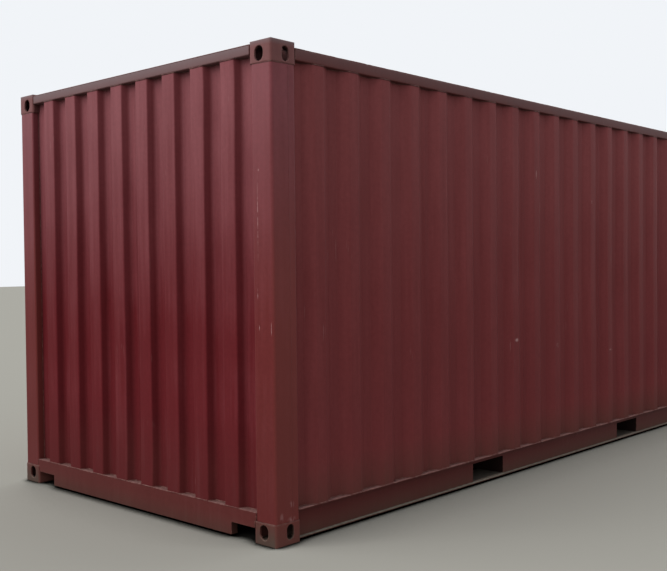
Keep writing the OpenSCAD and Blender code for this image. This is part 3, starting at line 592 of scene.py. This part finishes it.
RAIL_COLOURS = ("#4f2220", "#583434", "#45382f")
RAIL_WEAR = {"rough": 0.48, "chips": 0.8, "worn_edge": 0.004}
rail_finish = painted_steel(
    "painted_rolled_steel", *RAIL_COLOURS, dust=0.88, mud_and_shade_height=0.12, mud_and_shade_share=0.85,
    side_mud_and_light=(0.55, 0.15), **RAIL_WEAR,
)
# The sills are darkened strongly in their hollows and notches, as painted shade
sill_finish = painted_steel(
    "painted_sill_steel", *RAIL_COLOURS, dust=0.88, mud_and_shade_height=0.12, mud_and_shade_share=0.35,
    side_mud_and_light=(0.55, 0.0), hollow=(0.20, 0.12), **RAIL_WEAR,
)
header_finish = painted_steel(
    "painted_header_steel", "#522e2c", "#5e3634", ROAD_GRIME, dust=0.5, bleach=(2.490, 2.575),
    **RAIL_WEAR,
)
top_rail_finish = painted_steel(
    "painted_top_rail_steel", "#50292a", "#5a302e", ROAD_GRIME, dust=0.5, bleach=(2.500, 2.650),
    **RAIL_WEAR,
)
dress(["bottom_rail_left", "bottom_rail_right"], rail_finish)
dress(["front_sill", "door_sill"], sill_finish)
dress(["top_rail_left", "top_rail_right"], top_rail_finish)
dress(["front_header", "door_header"], header_finish)

WEB_IN = 0.048
FOOT_IN = 0.018
RAIL_THICK = 0.0045
BASE_LOW = 0.0125
FITTING_LONG = 0.178
FITTING_WIDE = 0.162
TOP_TUBE = 0.060
HEADER_TUBE = 0.051
ROOF_EDGE = 2.561
HEADER_LOW = 2.526
# Foot and top of the welds that join a sill to a casting and to a front post
SILL_WELD = (0.086, 0.1165)
POST_WELD = (0.120, 0.160)


def tube_ring(wide, high, round_off=0.006):
    """A rounded rectangle with its corner at (0, 0), as four quarter circles joined up."""
    turn = np.linspace(0, np.pi / 2, 4)
    quarter = np.column_stack([np.cos(turn), np.sin(turn)]) * round_off
    middles = [(wide - round_off, high - round_off), (round_off, high - round_off),
               (round_off, round_off), (wide - round_off, round_off)]
    turned = [quarter, quarter[:, ::-1] * (-1, 1), -quarter, quarter[:, ::-1] * (1, -1)]
    return np.concatenate([middle + arc for middle, arc in zip(middles, turned)])


rail_welds = []
for end, side in CORNERS:
    ring = tube_ring(TOP_TUBE, TOP_TUBE) + (FRAME_IN, ROOF_EDGE - TOP_TUBE)
    ring = np.column_stack([np.full(len(ring), FITTING_LONG + WELD_OFF), ring])
    rail_welds.append(bead(at_corner(ring, end, side), WELD, WELD, (1, 0, 0), closed=True))
    web = WEB_IN - RAIL_THICK - WELD_OFF
    foot = [(FOOT_IN, BASE_LOW + RAIL_THICK), (web, BASE_LOW + RAIL_THICK + WELD_OFF),
            (web, 0.100), (web, FITTING_HEIGHT)]
    foot = np.column_stack([np.full(4, FITTING_LONG + WELD_OFF), foot])
    rail_welds.append(bead(at_corner(foot, end, side), WELD, WELD, (1, 0, 0)))
for side in (LEFT, RIGHT):
    ring = tube_ring(TOP_TUBE, HEADER_TUBE) + (FRAME_IN, HEADER_LOW)
    ring = np.column_stack([ring[:, 0], np.full(len(ring), FITTING_WIDE + WELD_OFF), ring[:, 1]])
    rail_welds.append(bead(at_corner(ring, FRONT, side), WELD, WELD, (0, 1, 0), closed=True))
    for face, end in ((FRAME_IN, FRONT), (DOOR_END_IN, REAR)):
        joint = at_corner([(face, FITTING_WIDE, z) for z in SILL_WELD], end, side)
        rail_welds.append(bead(straight(*joint), WELD, WELD, (1, 0, 0)))
    joint = at_corner([(FRAME_IN, POST_WIDE, z) for z in POST_WELD], FRONT, side)
    rail_welds.append(bead(straight(*joint), WELD, WELD, (1, 0, 0)))
fit_piece("rail_welds", join_shells(rail_welds), rail_finish)

# A flat bar is welded to the edge of each front post, and its ground seam runs the whole height
seam_finish = painted_steel(
    "painted_weld_seam", "#581f20", "#6d393d", ROAD_GRIME, chips=0.8, streak=0.6,
    mud_and_shade_height=1.0, mud_and_shade_share=0.35, side_mud_and_light=(2.3, 0.42),
)
POST_SEAM = 0.122
SEAM_ACROSS, SEAM_DEEP = 0.004, 0.0010
post_seams = []
for side in (LEFT, RIGHT):
    seam = at_corner([(POST_SEAM, FRAME_IN, z)
                      for z in (FITTING_HEIGHT, top_height - FITTING_HEIGHT)], FRONT, side)
    post_seams.append(bead(straight(*seam, step=0.02), SEAM_ACROSS, SEAM_DEEP, (0, 1, 0),
                           uneven=0.3))
fit_piece("post_seam_welds", join_shells(post_seams), seam_finish)

# Pressed walls
# The walls are 2 mm weathering steel sheets, pressed into ribs and butt welded side by side.
# Each is welded all round to the frame, and handling leaves shallow dents in it.

SHEET = 0.002
SHEET_ROWS = 60
BEND = 0.010
SEAM_PROUD = 0.0013
SEAM_HALF = 0.0035


def rib_corners(start, end, first, pitch, count, ridge, slope, depth):
    """Corners of a pressed sheet seen from above, as (distance along, depth): the faces of the
    ribs stand at depth 0, one pitch apart, and the flats between them lie at the full depth."""
    across = np.array([-ridge / 2 - slope, -ridge / 2, ridge / 2, ridge / 2 + slope])
    along = (first + pitch * np.arange(count)[:, None] + across).ravel()
    inward = np.tile([depth, 0.0, 0.0, depth], count)
    return np.column_stack([[start, *along, end], [depth, *inward, depth]])


def rounded_line(corners, radius, steps=4):
    """Swaps each inner corner C of a line for the curve (1-t)^2 A + 2t(1-t) C + t^2 B, where A and
    B lie radius * tan(half the turn) before and after C. Each corner can have its own radius."""
    before, at, after = corners[:-2], corners[1:-1], corners[2:]
    back = (before - at) / np.linalg.norm(before - at, axis=1, keepdims=True)
    onward = (after - at) / np.linalg.norm(after - at, axis=1, keepdims=True)
    turn = np.pi - np.arccos(np.clip((back * onward).sum(1), -1, 1))
    reach = (radius * np.tan(turn / 2))[:, None]
    a, b = (at + back * reach)[:, None], (at + onward * reach)[:, None]
    t = np.linspace(0, 1, steps)[None, :, None]
    curve = (1 - t) ** 2 * a + 2 * t * (1 - t) * at[:, None] + t ** 2 * b
    return np.vstack([corners[:1], curve.reshape(-1, 2), corners[-1:]])


def with_seams(line, places, proud=SEAM_PROUD):
    """Adds butt weld seams to a line: at each place the depth lessens by proud * (1 - u^2), with
    u the distance from the seam over its half width."""
    u = np.array([-1.0, -0.6, 0.0, 0.6, 1.0])
    for place in places:
        at = np.searchsorted(line[:, 0], place)
        flat = line[at, 1]
        seam = np.column_stack([place + u * SEAM_HALF, flat - proud * (1 - u ** 2)])
        line = np.vstack([line[:at], seam, line[at:]])
    return line


def moved_in(line, distance):
    """The line moved sideways by a distance, along the mean of its two neighbouring normals."""
    step = np.diff(line, axis=0)
    normal = np.column_stack([-step[:, 1], step[:, 0]])
    normal /= np.linalg.norm(normal, axis=1, keepdims=True)
    normal = np.vstack([normal[:1], normal[:-1] + normal[1:], normal[-1:]])
    normal /= np.linalg.norm(normal, axis=1, keepdims=True)
    return line + distance * normal


def plate(outer, inner):
    """A closed plate between two grids of points, its outer and inner skins, with a rim of faces
    all round."""
    rows, columns = outer.shape[:2]
    skin = grid_faces(rows, columns)
    number = np.arange(rows * columns).reshape(rows, columns)
    rim = np.concatenate([number[0], number[1:, -1], number[-1, -2::-1], number[-2:0:-1, 0]])
    following = np.roll(rim, -1)
    below = rows * columns
    sides = np.stack([rim, following, following + below, rim + below], 1)
    points = np.concatenate([outer.reshape(-1, 3), inner.reshape(-1, 3)])
    faces = np.concatenate([skin, skin[:, ::-1] + below, sides])
    return points, outward_faces(points, faces)


DENT_PLACES = (0.06, 0.94)
DENT_NARROWEST = (0.10, 0.14)
DENT_WIDEST = (0.30, 0.45)
DENT_DEPTHS = (0.2, 1.0)
STIFF_RIM = 0.06


def dent_field(along, up, seed, count, deepest):
    """How far a welded sheet is pushed in at each place: shallow bowls depth * exp(-r^2 / 2), with
    r the distance from the middle in the bowl's own widths, and none of it at the stiff rim."""
    rng = np.random.default_rng(seed)
    span = np.array([np.ptp(along), np.ptp(up)])
    middles = rng.uniform(*DENT_PLACES, (count, 2)) * span + [along.min(), up.min()]
    widths = rng.uniform(DENT_NARROWEST, DENT_WIDEST, (count, 2))
    depths = rng.uniform(*DENT_DEPTHS, count) * deepest
    off_x = (along[None, :, None] - middles[:, 0, None, None]) / widths[:, 0, None, None]
    off_z = (up[None, None, :] - middles[:, 1, None, None]) / widths[:, 1, None, None]
    bowls = (depths[:, None, None] * np.exp(-(off_x ** 2 + off_z ** 2) / 2)).sum(0)
    rim_x = np.clip(np.minimum(along - along.min(), along.max() - along) / STIFF_RIM, 0, 1)
    rim_z = np.clip(np.minimum(up - up.min(), up.max() - up) / STIFF_RIM, 0, 1)
    return bowls * np.outer(rim_x, rim_z)


def pressed_sheet(line, low, high, place, seed, dents, deepest):
    """A wall sheet: the line of its ribs carried up from low to high, dented, with an inner skin
    one thickness behind. place turns (along, depth, height) to a place on the container."""
    rows = np.linspace(low, high, SHEET_ROWS)
    push = dent_field(line[:, 0], rows, seed, dents, deepest)
    inner_line = moved_in(line, SHEET)

    def skin(across):
        along = np.broadcast_to(across[:, :1], push.shape)
        depth = across[:, 1:] + push
        up = np.broadcast_to(rows[None], push.shape)
        return place(along, depth, up)

    return plate(skin(line), skin(inner_line))


def edge_welds(line, low, high, place):
    """The fillet welds of a wall sheet: along its foot and its top, following the ribs, and up
    both ends, where it meets the posts."""
    out = line - (0, WELD_OFF)
    steps = np.concatenate([
        np.linspace(0, 1, max(2, int(gap / 0.02)), endpoint=False) + k
        for k, gap in enumerate(np.linalg.norm(np.diff(out, axis=0), axis=1))])
    path = np.column_stack([np.interp(steps, np.arange(len(out)), out[:, k]) for k in (0, 1)])
    shells = [
        bead(place(path[:, 0], path[:, 1], np.full(len(path), height)), WELD, WELD, (0, 0, 1),
             uneven=0.25)
        for height in (low + WELD_OFF, high - WELD_OFF)
    ]
    outer, inner = place(np.zeros(2), np.array([0.0, 1.0]), np.zeros(2))
    for along in (line[0, 0] + WELD_OFF, line[-1, 0] - WELD_OFF):
        ends = place(np.full(2, along), np.full(2, line[0, 1] - WELD_OFF), np.array([low, high]))
        shells.append(bead(straight(*ends, step=0.03), WELD, WELD, inner - outer, uneven=0.25))
    return join_shells(shells)


WALL_IN = 0.005
# Each section gives the width of a rib's face, the run of its slopes and its depth
RIB_SECTION = (0.072, 0.068, 0.036)
FRONT_SECTION = (0.110, 0.018, 0.0456)
FRONT_BENDS = (0.026, 0.012, 0.012, 0.026)
SIDE_STOP, SIDE_FIRST, SIDE_PITCH, SIDE_RIBS = 5.886, 0.355, 0.278, 20
FRONT_STOP, FRONT_FIRST, FRONT_PITCH, FRONT_RIBS = 2.288, 0.344, 0.250, 8

side_line = rounded_line(rib_corners(POST_LONG, SIDE_STOP, SIDE_FIRST, SIDE_PITCH, SIDE_RIBS,
                                     *RIB_SECTION), BEND)
# Four ribs to a sheet, with the seams between two ribs
side_line = with_seams(side_line, SIDE_FIRST + SIDE_PITCH * (np.arange(4, SIDE_RIBS, 4) - 0.5))
front_line = rounded_line(rib_corners(POST_WIDE, FRONT_STOP, FRONT_FIRST, FRONT_PITCH, FRONT_RIBS,
                                      *FRONT_SECTION), np.tile(FRONT_BENDS, FRONT_RIBS), steps=7)
front_line = with_seams(front_line, [FRONT_FIRST + FRONT_PITCH * 3.5])

WALL_SCRATCHES = (
    ((-0.722, -1.20, 0.914), (0.030, 0.08, 0.016), 0.8),
    ((-0.164, -1.20, 0.841), (0.022, 0.08, 0.020), 0.8),
    ((0.671, -1.20, 0.743), (0.035, 0.08, 0.014), 0.8),
    ((-0.455, -1.20, 2.070), (0.006, 0.08, 0.055), 0.8),
    ((0.364, -1.20, 1.900), (0.010, 0.08, 0.016), 0.8),
)
wall_finish = painted_steel(
    "painted_wall_sheet", "#6e3334", "#794041", "#45382f", rough=0.45, chips=0.35, streak=0.65,
    dents=0.004, marks=WALL_SCRATCHES, mud_and_shade_height=0.40, mud_and_shade_share=1.0, gloss=0.025,
)

for side, word, seed in ((LEFT, "left", 11), (RIGHT, "right", 23)):
    low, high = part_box(f"side_wall_{word}")

    def beside(along, depth, up, side=side):
        """Places a side wall's points: along from the front end, depth from the side face."""
        return np.stack([along - half_length, side * (half_width - WALL_IN - depth), up], -1)

    wall = fit_piece(
        f"pressed_side_wall_{word}",
        pressed_sheet(side_line, low[2], high[2], beside, seed, dents=14, deepest=0.006),
        wall_finish, sharp=60)
    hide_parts(f"side_wall_{word}")
    fit_piece(f"side_wall_welds_{word}", edge_welds(side_line, low[2], high[2], beside),
              rail_finish)


def ahead_of_end(along, depth, up):
    """Places the front wall's points: along from the left side, depth from the front end."""
    return np.stack([depth + WALL_IN - half_length, along - half_width, up], -1)


low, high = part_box("front_wall")
# The front sheet has painted shade in its hollows and on the steep sides of its ribs
front_finish = painted_steel(
    "painted_front_sheet", "#591c20", "#7c484c", ROAD_GRIME, rough=0.45, chips=0.35, streak=0.65,
    dents=0.004, mud_and_shade_height=0.65, mud_and_shade_share=0.5, hollow=(0.045, 0.55), gloss=0.03, flank_shade=0.5,
)
front_wall = fit_piece(
    "pressed_front_wall",
    pressed_sheet(front_line, low[2], high[2], ahead_of_end, seed=5, dents=6, deepest=0.005),
    front_finish, sharp=60)
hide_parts("front_wall")
fit_piece("front_wall_welds", edge_welds(front_line, low[2], high[2], ahead_of_end),
          rail_finish)

# Roof
# Pressed sheets with shallow ribs across, welded to the rails and to a plate at each end.
# It lies under the weather, so it is more faded and dusty than the walls.

roof_finish = painted_steel(
    "painted_roof_sheet", "#673434", "#77504d", "#54423c", rough=0.55, dust=0.45, chips=0.8,
    dents=0.003,
)
dress(["roof_plate_front", "roof_plate_rear"], roof_finish)

ROOF_START, ROOF_STOP = 0.250, 5.808
ROOF_PITCH, ROOF_FIRST, ROOF_RIBS = 0.209, 0.4165, 26
ROOF_RIDGE, ROOF_SLOPE, ROOF_RIB = 0.091, 0.0135, 0.020
ROOF_BEND = 0.007
ROOF_SHEET_IN = 0.009
RUN_OUT_IN, RUN_OUT = 0.083, 0.031
SEAM_TOP = 0.002


def roof_shell():
    """The roof sheet, z = edge + thickness + rib height * R(x) * M(y) - dents. R is 1 on a rib
    and 0 between two, along a line with rounded corners. M = 3t^2 - 2t^3 climbs from 0 to 1
    where t runs over the 31 mm in from the rib's foot, and falls in the same way at its other
    end. Every fifth valley has a butt weld seam."""
    line = rounded_line(rib_corners(ROOF_START, ROOF_STOP, ROOF_FIRST, ROOF_PITCH, ROOF_RIBS,
                                    ROOF_RIDGE, ROOF_SLOPE, ROOF_RIB), ROOF_BEND)
    seams = ROOF_FIRST + ROOF_PITCH * (np.arange(5, ROOF_RIBS, 5) - 0.5)
    lift = np.column_stack([line[:, 0], ROOF_RIB - line[:, 1]])
    lift = with_seams(lift, seams, proud=-SEAM_PROUD)
    edge_rows = np.array([ROOF_SHEET_IN, 0.03, 0.06, 0.080, 0.085, 0.090, 0.096, 0.102, 0.108,
                          0.113, 0.118, 0.130, 0.17, 0.25])
    across = np.concatenate([edge_rows, np.linspace(0.35, 2 * half_width - 0.35, 24),
                             2 * half_width - edge_rows[::-1]])
    t = np.clip((np.minimum(across, 2 * half_width - across) - RUN_OUT_IN) / RUN_OUT, 0, 1)
    climb = 3 * t ** 2 - 2 * t ** 3
    seam_only = np.minimum(lift[:, 1], SEAM_TOP)
    height = ROOF_EDGE + SHEET + lift[:, 1:] * climb + seam_only[:, None] * (1 - climb)
    height = height - dent_field(lift[:, 0], across, seed=41, count=26, deepest=0.005)
    along = np.broadcast_to(lift[:, :1] - half_length, height.shape)
    sideways = np.broadcast_to(across[None] - half_width, height.shape)
    return plate(np.stack([along, sideways, height], -1),
                 np.stack([along, sideways, height - SHEET], -1))


pressed_roof = fit_piece("pressed_roof_sheet", roof_shell(), roof_finish, sharp=60)
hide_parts("roof_sheet")

# Half the width and half the height of the roof's beads, and where the end ones lie
ROOF_BEAD = (0.004, 0.0025)
END_BEAD_IN, END_BEAD_UP = 0.012, 0.0035
roof_welds = []
for side in (LEFT, RIGHT):
    edge = at_corner([(x, ROOF_SHEET_IN - WELD_OFF, ROOF_EDGE + WELD_OFF)
                      for x in (ROOF_START, ROOF_STOP)], FRONT, side)
    roof_welds.append(bead(straight(*edge, step=0.025), *ROOF_BEAD, (0, 0, 1), uneven=0.25))
for end in (FRONT, REAR):
    edge = at_corner([(ROOF_START, y, ROOF_EDGE + END_BEAD_UP)
                      for y in (END_BEAD_IN, 2 * half_width - END_BEAD_IN)], end, LEFT)
    roof_welds.append(bead(straight(*edge, step=0.03), *ROOF_BEAD, (0, 0, 1), uneven=0.25))
fit_piece("roof_welds", join_shells(roof_welds), roof_finish)

# Base
# Channels run across under the floor, with two box pockets for forklift tines. They are only
# primed, and never washed, so they are dull, dark and muddy.

base_finish = painted_steel(
    "primed_base_steel", "#2b1a18", "#2e1e1c", "#161210", rough=0.62, dust=0.25, chips=0.9,
)
dress(["cross_members_front", "cross_members_middle", "cross_members_rear",
       "forklift_pocket_front", "forklift_pocket_rear"], base_finish)

# Floor
# Boards of 28 mm tropical plywood lie on the cross members, 1.16 m wide and screwed down. From
# below they are brown, oil-stained wood between the channels.

plywood, wood = empty_finish("plywood_board")
spot = add(wood, "ShaderNodeTexCoord", output="Object")
# Rotary-cut veneer has long wavy grain, 10 mm wide and about 300 mm long along the container
grain = add(wood, "ShaderNodeTexNoise", {
    "Vector": add(wood, "ShaderNodeMapping", {"Vector": spot, "Scale": (3.5, 95.0, 95.0)}),
    "Scale": 1.0, "Detail": 6.0, "Distortion": 0.6,
})
stain = add(wood, "ShaderNodeTexNoise", {"Vector": spot, "Scale": 1.9, "Detail": 6.0})
wood_colour = add(wood, "ShaderNodeMix", {0: grain, 6: linear("#3f2c1d"), 7: linear("#755437")},
                  **BLEND)
wood_colour = add(wood, "ShaderNodeMix", {
    0: add(wood, "ShaderNodeMapRange", {
        "Value": stain, "From Min": 0.45, "From Max": 0.75, "To Max": 0.7,
    }),
    6: wood_colour, 7: linear("#1f1712"),
}, **BLEND)
BOARD_LONG = 1.16
# Distance from the nearest butt joint between two boards
board_place = add(wood, "ShaderNodeMath", {
    0: add(wood, "ShaderNodeSeparateXYZ", {0: spot}, output="X"), 1: BOARD_LONG / 2,
}, operation="PINGPONG")
joint_line = add(wood, "ShaderNodeMapRange", {
    "Value": board_place, "From Min": 0.0015, "From Max": 0.0005,
})
wood_colour = add(wood, "ShaderNodeMix", {0: joint_line, 6: wood_colour, 7: linear("#0c0907")},
                  **BLEND)
wood_skin = add(wood, "ShaderNodeBump", {"Height": grain, "Distance": 0.0006, "Strength": 0.7})
add(wood, "ShaderNodeOutputMaterial", {"Surface": add(wood, "ShaderNodeBsdfPrincipled", {
    "Base Color": wood_colour, "Roughness": 0.72, "Normal": wood_skin, "IOR": 1.5,
    "Specular IOR Level": 0.3,
})})
dress(["floor_boards"], plywood)

# Doors
# Each leaf is a welded frame of tubes and channels with a pressed panel, hung on four forged
# hinges. The cam keepers are welded to the sill and the header.

door_finish = painted_steel(
    "painted_door_leaf", OXIDE_RED, CHALKED_AND_LIT_RED, ROAD_GRIME, rough=0.42, chips=0.5,
    worn_edge=0.003,
)
dress(["door_frame_left", "door_frame_right"], door_finish)
dress(["door_hinges_left", "door_hinges_right", "cam_keepers"], rail_finish)

LEAF_IN = 0.056
LEAF_NEAR, LEAF_FAR = 0.058, 1.214
LEAF_LOW, LEAF_HIGH = 0.1795, 2.441
STILE = 0.100
PANEL_MID = (LEAF_NEAR + LEAF_FAR) / 2
DOOR_PITCH, DOOR_RIBS = 0.280, 3
door_line = rounded_line(rib_corners(LEAF_NEAR + STILE, LEAF_FAR - STILE, PANEL_MID - DOOR_PITCH,
                                     DOOR_PITCH, DOOR_RIBS, *RIB_SECTION), BEND)

for side, word, seed in ((LEFT, "left", 61), (RIGHT, "right", 67)):
    low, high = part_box(f"door_panel_{word}")

    def on_leaf(along, depth, up, side=side):
        """Places a door panel's points: along from the side face, depth from the leaf's face."""
        return np.stack([half_length - LEAF_IN - depth, side * (half_width - along), up], -1)

    panel = fit_piece(
        f"pressed_door_panel_{word}",
        pressed_sheet(door_line, low[2], high[2], on_leaf, seed, dents=3, deepest=0.003),
        wall_finish, sharp=60)
    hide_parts(f"door_panel_{word}")
    fit_piece(f"door_panel_welds_{word}", edge_welds(door_line, low[2], high[2], on_leaf),
              rail_finish)

# Door seals
# An extruded EPDM rubber profile is riveted round each leaf. Its lips cover the gap to the
# frame, and sun and dust turn the black rubber grey.

rubber, seal = empty_finish("extruded_epdm_rubber")
spot = add(seal, "ShaderNodeTexCoord", output="Object")
bloom = add(seal, "ShaderNodeTexNoise", {"Vector": spot, "Scale": 14.0, "Detail": 7.0})
# Draw lines of the die, 2 mm apart
draw = add(seal, "ShaderNodeTexNoise", {"Vector": spot, "Scale": 480.0, "Detail": 2.0})
add(seal, "ShaderNodeOutputMaterial", {"Surface": add(seal, "ShaderNodeBsdfPrincipled", {
    "Base Color": add(seal, "ShaderNodeMix", {
        0: bloom, 6: linear("#121213"), 7: linear("#3b3938"),
    }, **BLEND),
    "Roughness": add(seal, "ShaderNodeMapRange", {"Value": bloom, "To Min": 0.5, "To Max": 0.85}),
    "Normal": add(seal, "ShaderNodeBump", {"Height": draw, "Distance": 0.0002, "Strength": 0.5}),
    "IOR": 1.52,
})})
dress(["door_gaskets"], rubber)

LIP_ACROSS, LIP_DEEP = 0.0058, 0.0016
# How far the lips lie outside the leaf, in front of it, and inside its meeting edge
LIP_OUT, LIP_PROUD, LIP_IN = 0.0045, 0.0015, 0.001
lips = []
for side in (LEFT, RIGHT):
    inner, outer = LEAF_NEAR - LIP_OUT, LEAF_FAR - LIP_IN
    low, high = LEAF_LOW - LIP_OUT, LEAF_HIGH + LIP_OUT
    corners = [(inner, low), (outer, low), (outer, high), (inner, high)]
    ring = np.column_stack([np.full(4, LEAF_IN - LIP_PROUD), corners])
    lips.append(bead(at_corner(ring, REAR, side), LIP_ACROSS, LIP_DEEP, (1, 0, 0), closed=True,
                     sides=8))
fit_piece("gasket_lips", join_shells(lips), rubber)

# Door gear
# Locking bars, saddles and handles are hot-dip galvanised steel. The zinc has lost its spangle
# and gone dull grey, with brown stains where it has been knocked through.

zinc, coat = empty_finish("hot_dip_galvanised_steel")
spot = add(coat, "ShaderNodeTexCoord", output="Object")
# Zinc crystals about 12 mm across
crystals = add(coat, "ShaderNodeTexVoronoi", {"Vector": spot, "Scale": 85.0}, output="Color")
weather = add(coat, "ShaderNodeTexNoise", {"Vector": spot, "Scale": 9.0, "Detail": 8.0})
zinc_colour = add(coat, "ShaderNodeMix", {0: weather, 6: linear("#6c6f72"), 7: linear("#a3a6a8")},
                  **BLEND)
zinc_colour = add(coat, "ShaderNodeMix", {
    0: 0.12, 6: zinc_colour, 7: add(coat, "ShaderNodeRGBToBW", {0: crystals}),
}, **BLEND, blend_type="OVERLAY")
knocked = add(coat, "ShaderNodeTexNoise", {"Vector": spot, "Scale": 26.0, "Detail": 6.0})
knocked = add(coat, "ShaderNodeMapRange", {"Value": knocked, "From Min": 0.60, "From Max": 0.70})
zinc_colour = add(coat, "ShaderNodeMix", {0: knocked, 6: zinc_colour, 7: linear("#5a3524")},
                  **BLEND)
add(coat, "ShaderNodeOutputMaterial", {"Surface": add(coat, "ShaderNodeBsdfPrincipled", {
    "Base Color": zinc_colour,
    "Metallic": add(coat, "ShaderNodeMapRange", {"Value": knocked, "To Min": 0.75, "To Max": 0.0}),
    "Roughness": add(coat, "ShaderNodeMapRange", {
        "Value": weather, "To Min": 0.42, "To Max": 0.68}),
    "Normal": add(coat, "ShaderNodeBump", {
        "Height": weather, "Distance": 0.0008, "Strength": 0.5}),
})})
dress(["locking_bars_left", "locking_bars_right", "bar_brackets", "door_handles"], zinc)

# Rivets
# Dome-headed steel rivets hold the saddles, the handle catches and the hinge straps to the
# leaves. Each of these has four.

RIVET, RIVET_HIGH = 0.0055, 0.0035
RIVET_SUNK, RIVET_CENTRE = 0.001, 0.0005
SADDLE_FACE, HINGE_FACE = 0.050, 0.045
SADDLE_EDGE, SADDLE_INNER = 0.060, 0.640
HANDLE_HEIGHTS = (1.080, 1.240)
HINGE_MID, HINGE_EDGE = 0.115, 0.210


def rivet_head(x, y, z):
    """A dome on a face that looks along X: at angle a from its rim the ring has radius
    RIVET * cos(a) and stands RIVET_HIGH * sin(a) proud. The foot is a flat disc, sunk 1 mm."""
    lift = np.linspace(0, np.pi / 2, 4)[:-1]
    foot = [(RIVET_CENTRE, -RIVET_SUNK), (RIVET, -RIVET_SUNK)]
    dome = [(RIVET * np.cos(a), RIVET_HIGH * np.sin(a)) for a in lift]
    rings = foot + dome + [(RIVET_CENTRE, RIVET_HIGH)]
    turn = np.arange(10) * np.pi / 5
    points = np.array([[x - out, y + r * np.cos(t), z + r * np.sin(t)]
                       for r, out in rings for t in turn])
    return points, grid_faces(len(rings), 10, round_columns=True)


def in_fours(face, middles, heights, across, up):
    """Four rivets round each middle at each height, at the distances across and up from it."""
    return [rivet_head(face, y + dy, z + dz) for y in middles for z in heights
            for dy in (-across, across) for dz in (-up, up)]


bar_middles = (PANEL_MID - DOOR_PITCH, PANEL_MID + DOOR_PITCH)
saddle_heights = (LEAF_LOW + SADDLE_EDGE, LEAF_LOW + SADDLE_INNER,
                  LEAF_HIGH - SADDLE_INNER, LEAF_HIGH - SADDLE_EDGE)
hinge_span = LEAF_HIGH - LEAF_LOW - 2 * HINGE_EDGE
hinge_heights = [LEAF_LOW + HINGE_EDGE + k * hinge_span / 3 for k in range(4)]
saddle_heads = in_fours(SADDLE_FACE, bar_middles, saddle_heights, across=0.0285, up=0.012)
catch_heads = in_fours(SADDLE_FACE, [PANEL_MID], HANDLE_HEIGHTS, across=0.020, up=0.0245)
hinge_heads = in_fours(HINGE_FACE, [HINGE_MID], hinge_heights, across=0.020, up=0.016)


def both_leaves(heads):
    """Puts shells drawn inboard of the rear left corner on both leaves."""
    shells = []
    for side in (LEFT, RIGHT):
        for points, faces in heads:
            placed = at_corner(points, REAR, side)
            shells.append((placed, faces if side == RIGHT else faces[:, ::-1]))
    return join_shells(shells)


fit_piece("gear_rivets", both_leaves(saddle_heads + catch_heads), zinc)
fit_piece("hinge_rivets", both_leaves(hinge_heads), rail_finish)
